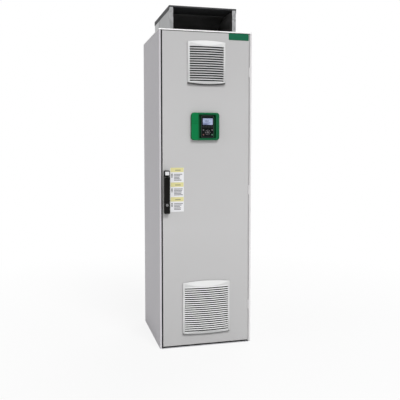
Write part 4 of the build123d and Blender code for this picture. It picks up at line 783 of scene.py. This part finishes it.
def open_foam(name):
    """Reticulated foam coloured black, a painted shade behind the slots: fine struts round open cells,
    greyed by a little dust.
    """
    material, place = new_finish(name)
    strut = place.node("ShaderNodeTexVoronoi", {"feature": "DISTANCE_TO_EDGE"},
                       {"Vector": place, "Scale": 420.0}, "Distance")
    dust = place.noise(20.0, 3.0)
    lint = place.noise(90.0, 3.0).ramp(0.55, 0.80)
    tone = strut.ramp(0.0, 0.5) * 0.5 + dust * 0.3 + lint * 0.2
    close_finish(place, height=strut, depth=0.0008,
                 Base_Color=tone.between(grey_of(0.022), grey_of(0.006)),
                 Roughness=dust * 0.1 + 0.88)
    return material


dress(open_foam("mat_foam"), "top_filter", "bottom_filter")

# ---------------------------------------------------------------- keypad frame
# A satin green moulding set in the door, bright on its left side and darker on the others, with a dark
# green bay into which the keypad is clipped.
bright_green = (0.001, 0.203, 0.060, 1.0)
dark_green = (0.006, 0.125, 0.046, 1.0)
bay_green = (0.001, 0.078, 0.022, 1.0)
frame_low, frame_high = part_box("hmi_frame")
strip_start, strip_end = frame_low.x + 0.045, frame_low.x + 0.041
bay_start, bay_floor = frame_low.y + 0.0044, frame_low.y + 0.0052


def two_green_moulding(name):
    """Satin green plastic, bright on its left strip and darker on the other three sides and in the sunk
    bay behind the keypad. Two fine dark lines cross the strip."""
    material, place = new_finish(name)
    flow = place.noise(20.0, 2.0)
    grain = place.noise(1500.0, 2.0)
    sunk = place.axis("Y").ramp(bay_start, bay_floor)
    strip = place.axis("X").ramp(strip_start, strip_end)
    up = place.axis("Z").ramp(frame_low.z, frame_high.z)
    lines = (up.within(0.60, 0.62) + up.within(0.68, 0.70)) * strip
    side = strip.between(dark_green, bright_green)
    face = (lines * 0.5).between((flow * 0.2).between(side, dark_green), bay_green)
    close_finish(place, height=grain, depth=0.00003,
                 Base_Color=sunk.between(face, bay_green),
                 Roughness=grain * 0.08 + sunk * 0.15 + 0.38, Specular_IOR_Level=0.14)
    return material


dress(two_green_moulding("keypad_frame_green"), "hmi_frame")

# ---------------------------------------------------------------- keypad
# A black hand-held unit with a backlit screen, four soft keys, a touch wheel round the OK key and
# four small keys about it. Each key is a satin moulding of its own colour.
pad_low, pad_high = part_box("keypad_body")
pad_middle, pad_half = (pad_low + pad_high) / 2, (pad_high - pad_low) / 2
ok_low, ok_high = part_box("ok_key")
ok_middle = (ok_low + ok_high) / 2
edge_start, edge_end = 0.0045, 0.0035
tick_inner, tick_outer = 0.0130, 0.0152
tick_count = 8
tick_share = 0.60
pad_black, pad_black_warm = (0.0033, 0.0052, 0.0056, 1.0), (0.0037, 0.0058, 0.0064, 1.0)
edge_grey = (0.045, 0.062, 0.056, 1.0)
tick_grey = (0.30, 0.29, 0.30, 1.0)
soft_key_black = (0.016, 0.018, 0.019, 1.0)
key_grey = (0.120, 0.117, 0.120, 1.0)
stop_red = (0.19, 0.085, 0.080, 1.0)
run_green = (0.080, 0.19, 0.120, 1.0)


def keypad_skin(name):
    """Black plastic with a grey line along its edge, and a ring of light ticks on the touch wheel."""
    material, place = new_finish(name)
    flow = place.noise(14.0, 2.0)
    grain = place.noise(1400.0, 2.0)
    aside = abs(place.axis("X") - pad_middle.x).ramp(pad_half.x - edge_start, pad_half.x - edge_end)
    above = abs(place.axis("Z") - pad_middle.z).ramp(pad_half.z - edge_start, pad_half.z - edge_end)
    edge = (aside + above).ramp(0.0, 1.0)
    across = place.axis("X") - ok_middle.x
    up = place.axis("Z") - ok_middle.z
    reach = (across * across + up * up).math("SQRT")
    turn = up.math("ARCTAN2", across) * (tick_count / math.tau)
    tick = reach.within(tick_inner, tick_outer) * (turn.zigzag(0.5) < tick_share)
    lined = (edge * 0.7).between(flow.between(pad_black, pad_black_warm), edge_grey)
    close_finish(place, height=grain, depth=0.00003,
                 Base_Color=tick.between(lined, tick_grey),
                 Roughness=flow * 0.08 + grain * 0.08 + 0.34, Specular_IOR_Level=0.12)
    return material


dress(keypad_skin("keypad_black"), "keypad_body")
dress(moulded_plastic("soft_key_black", soft_key_black, 0.55, sheen=0.3),
      "function_key_1", "function_key_2", "function_key_3", "function_key_4")
dress(moulded_plastic("key_grey", key_grey, 0.55, sheen=0.3), "escape_key", "help_key", "ok_key")
dress(moulded_plastic("stop_key_red", stop_red, 0.55, sheen=0.3), "stop_key")
dress(moulded_plastic("run_key_green", run_green, 0.55, sheen=0.3), "run_key")

# ---------------------------------------------------------------- keypad screen
# A monochrome display under a clear window, lit from behind. It shows a header line, two plain bars
# of a reading and a short footer, all of fine square dots.
screen_low, screen_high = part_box("keypad_screen")
dot_pitch = 0.00025
dot_gap = 0.12
glass_light, glass_shaded = (0.36, 0.41, 0.58, 1.0), (0.10, 0.12, 0.26, 1.0)
dot_ink, lit_ink = (0.05, 0.06, 0.12, 1.0), (0.04, 0.05, 0.10, 1.0)


def backlit_screen(name):
    """The lit display, laid out in shares of the window's width and height."""
    material, place = new_finish(name)
    across = place.axis("X").ramp(screen_low.x, screen_high.x)
    up = place.axis("Z").ramp(screen_low.z, screen_high.z)
    dots = (place.axis("X").zigzag(dot_pitch) > dot_gap) * (place.axis("Z").zigzag(dot_pitch) > dot_gap)
    header = up.within(0.86, 0.90)
    reading = up.within(0.52, 0.66) * across.within(0.16, 0.60)
    lower_reading = up.within(0.30, 0.36) * across.within(0.16, 0.78)
    footer = up.within(0.06, 0.15) * across.within(0.05, 0.45)
    ink = (header + reading + lower_reading + footer).ramp(0.0, 1.0) * dots
    shaded = (up.ramp(0.40, 0.20) * across.ramp(0.75, 0.45) + up.ramp(0.94, 1.0)).ramp(0.0, 1.0)
    glass = (shaded * 0.6).between(glass_light, glass_shaded)
    close_finish(place,
                 Base_Color=ink.between(glass, dot_ink),
                 Emission_Color=ink.between(glass, lit_ink),
                 Emission_Strength=0.20, Roughness=0.14, Coat_Weight=0.3)
    return material


dress(backlit_screen("screen_lit"), "keypad_screen")

# ---------------------------------------------------------------- nameplate
# A small green plastic plate with a blank face.
# It is stuck to the door's upper right corner.
plate_green = (0.006, 0.138, 0.066, 1.0)
dress(moulded_plastic("nameplate_green", plate_green, 0.38, sheen=0.25), "nameplate")

# ---------------------------------------------------------------- swing handle and key cylinder
# A glossy black moulded handle: base with lock housing, turning head and lift-out lever. The key
# cylinder is plated brass.
gloss_black = (0.006, 0.0055, 0.0055, 1.0)
chrome = (0.36, 0.36, 0.37, 1.0)
dress(moulded_plastic("handle_black", gloss_black, 0.30, 900.0, 0.00002, coat=0.04, sheen=0.14),
      "handle_base", "handle_spindle", "handle_lever")
dress(plated_steel("cylinder_chrome", chrome, 0.26, warm=0.01), "lock_cylinder")

# ---------------------------------------------------------------- rod lock
# A die-cast gearbox behind the handle drives two zinc-plated steel rods, which hold the door at its
# head and its foot. They run in black nylon guides.
dress(plated_steel("gearbox_zinc", dull_zinc, 0.42), "lock_gearbox")
dress(plated_steel("rod_zinc"), "upper_lock_rod", "lower_lock_rod")
dress(moulded_plastic("guide_nylon", grey_of(0.014), 0.5), "rod_guides")

# ---------------------------------------------------------------- label card
# A white printed card stuck to the door beside the handle. Three pale yellow bands head blocks of
# plain grey rules, and nothing is written on it.
card_left, card_right = -0.232, -0.145
card_bottom, card_top = 0.871, 1.147
card_corner = 0.002
card_thickness = 0.0003
card_thirds = 3
rule_reach = 0.05
line_pitch = 0.1
paper_white = (0.86, 0.86, 0.88, 1.0)
band_yellow = (0.78, 0.73, 0.35, 1.0)
rule_ink = (0.09, 0.09, 0.11, 1.0)
mark_ink = (0.10, 0.10, 0.11, 1.0)


def flat_card(name, left, right, bottom, top, face_y, corner, material):
    """A thin upright card with rounded corners, its back on face_y."""
    corner_steps = 4
    outline = []
    for quarter, (centre_x, centre_z) in enumerate((
            (right - corner, top - corner), (left + corner, top - corner),
            (left + corner, bottom + corner), (right - corner, bottom + corner))):
        for step in range(corner_steps + 1):
            turn = math.radians(90 * (quarter + step / corner_steps))
            outline.append((centre_x + corner * math.cos(turn), centre_z + corner * math.sin(turn)))
    count = len(outline)
    points = [(x, y, z) for y in (face_y - card_thickness, face_y) for x, z in outline]
    faces = [tuple(range(count)), tuple(reversed(range(count, 2 * count)))]
    faces += [(i, count + i, count + (i + 1) % count, (i + 1) % count) for i in range(count)]
    mesh = bpy.data.meshes.new(name)
    mesh.from_pydata(points, [], faces)
    mesh.validate()
    mesh.materials.append(material)
    return placed(name, mesh)


def ruled_card(name):
    """White film printed in thirds: a heading on a band, ruled lines of uneven length, and a mark, laid
    out in shares of a third's height and of the card's width."""
    material, place = new_finish(name)
    up = (place.axis("Z") - card_bottom) * (card_thirds / (card_top - card_bottom))
    part = up.math("FRACT")
    across = place.axis("X").ramp(card_left, card_right)
    band = (part > 0.70) * across.within(0.02, 0.98)
    heading = part.within(0.79, 0.86) * across.within(0.36, 0.76)
    rule = part.zigzag(rule_reach)
    ragged = across.node("ShaderNodeTexWhiteNoise", {"noise_dimensions": "1D"},
                         {"W": up.math("SNAP", line_pitch)}, "Value")
    block = part.within(0.08, 0.62) * across.within(0.28, ragged * 0.25 + 0.68)
    lines = (rule > 0.42) * block
    mark = part.within(0.34, 0.62) * across.within(0.05, 0.20) * (rule > 0.30)
    fibre = place.noise(900.0, 2.0)
    paper = band.between(paper_white, band_yellow)
    ruled = (lines * 0.80 + heading * 0.6).between(paper, rule_ink)
    close_finish(place, height=fibre, depth=0.00001,
                 Base_Color=(mark * 0.75).between(ruled, mark_ink),
                 Roughness=fibre * 0.05 + 0.32)
    return material


label_card = flat_card("label_card", card_left, card_right, card_bottom, card_top, cabinet_front,
                       card_corner, ruled_card("card_print"))
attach(label_card, "door")

# ---------------------------------------------------------------- plate on the handle's head
# A small blank white plate.
# It lies on the front of the handle's turning head.
plate_left, plate_right = -0.269, -0.244
plate_bottom, plate_top = 1.102, 1.124
plate_corner = 0.0015
plate_white = (0.78, 0.78, 0.80, 1.0)
head_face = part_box("handle_spindle")[0].y
head_plate = flat_card("head_plate", plate_left, plate_right, plate_bottom, plate_top, head_face,
                       plate_corner, moulded_plastic("plate_white", plate_white, 0.35))
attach(head_plate, "handle_head")

# ---------------------------------------------------------------- studio
# A pale floor in white surroundings. A large soft lamp high in front lights the door, and weaker ones
# lift the side and the back. The room in front of the cabinet is dim, so that black gloss stays black.
floor_half = 14.0
floor_grey = 0.72
floor_glow_near = 0.86
floor_glow_mirrored = 0.3
far_start, far_end = 0.8, 3.0
ambient = 0.37
dim_ambient = 0.06
mirrored_share = 0.6
floor_mesh = bpy.data.meshes.new("studio_floor")
floor_mesh.from_pydata([(-floor_half, -floor_half, 0), (floor_half, -floor_half, 0),
                        (floor_half, floor_half, 0), (-floor_half, floor_half, 0)], [], [(0, 1, 2, 3)])
studio_floor = placed("studio_floor", floor_mesh)
floor_finish, floor_place = new_finish("floor_white")
ray = floor_place.node("ShaderNodeLightPath", output="Is Camera Ray")
glossy = floor_place.node("ShaderNodeLightPath", output="Is Glossy Ray")
distance = floor_place.node("ShaderNodeVectorMath", {"operation": "LENGTH"}, {0: floor_place}, "Value")
floor_glow = distance.ramp(far_start, far_end) * (1.0 - floor_glow_near) + floor_glow_near
lit = floor_place.node("ShaderNodeBsdfDiffuse", None, {"Color": grey_of(floor_grey)})
bright = floor_place.node("ShaderNodeEmission", None, {"Color": grey_of(1.0), "Strength": 1.0})
share = ray * floor_glow + glossy * floor_glow_mirrored
blend = floor_place.node("ShaderNodeMixShader", None, {0: share, 1: lit, 2: bright})
floor_place.node("ShaderNodeOutputMaterial", None, {"Surface": blend})
studio_floor.data.materials.append(floor_finish)

world = bpy.data.worlds.new("studio_world")
bpy.context.scene.world = world
world.use_nodes = True
world.node_tree.nodes.clear()
around = Wire(world.node_tree)
seen = around.node("ShaderNodeLightPath", output="Is Camera Ray")
mirrored = around.node("ShaderNodeLightPath", output="Is Glossy Ray")
through = around.node("ShaderNodeLightPath", output="Is Transmission Ray")
heading = around.node("ShaderNodeTexCoord", output="Generated")
dim_room = heading.axis("Y").ramp(-0.2, -0.75) * heading.axis("Z").ramp(0.75, 0.45)
white_share = (seen + mirrored * mirrored_share * (1.0 - dim_room) + through).ramp(0.0, 1.0)
level = white_share * (1.0 - ambient) + ambient
dimming = dim_room * mirrored * (ambient - dim_ambient)
sky = around.node("ShaderNodeBackground", None, {"Color": grey_of(1.0), "Strength": level - dimming})
around.node("ShaderNodeOutputWorld", None, {"Surface": sky})


def soft_sun(name, towards, strength, spread):
    """A far, large lamp that shines from a direction. spread is how large it looks, in degrees."""
    lamp = bpy.data.lights.new(name, "SUN")
    lamp.energy = strength
    lamp.angle = math.radians(spread)
    stand = placed(name, lamp)
    stand.rotation_euler = Vector(towards).to_track_quat("Z", "Y").to_euler()


soft_sun("front_lamp", (0.25, -1.0, 1.0), 1.9, 24.0)
soft_sun("left_lamp", (-1.0, -0.1, 0.45), 0.55, 40.0)
soft_sun("back_lamp", (0.7, 1.0, 0.7), 1.1, 40.0)

# The camera stands at chest height, a little to the left, with a slightly long lens.
camera_data = bpy.data.cameras.new("product_camera")
camera_data.sensor_width = 36.0
camera_data.lens = 51.75
camera_data.shift_y = -0.045
camera = placed("product_camera", camera_data)
camera.location = (-0.941, -3.807, 1.293)
camera.rotation_euler = (math.radians(86.24), 0.0, math.radians(-14.40))
bpy.context.scene.camera = camera
bpy.context.scene.view_settings.view_transform = "Standard"
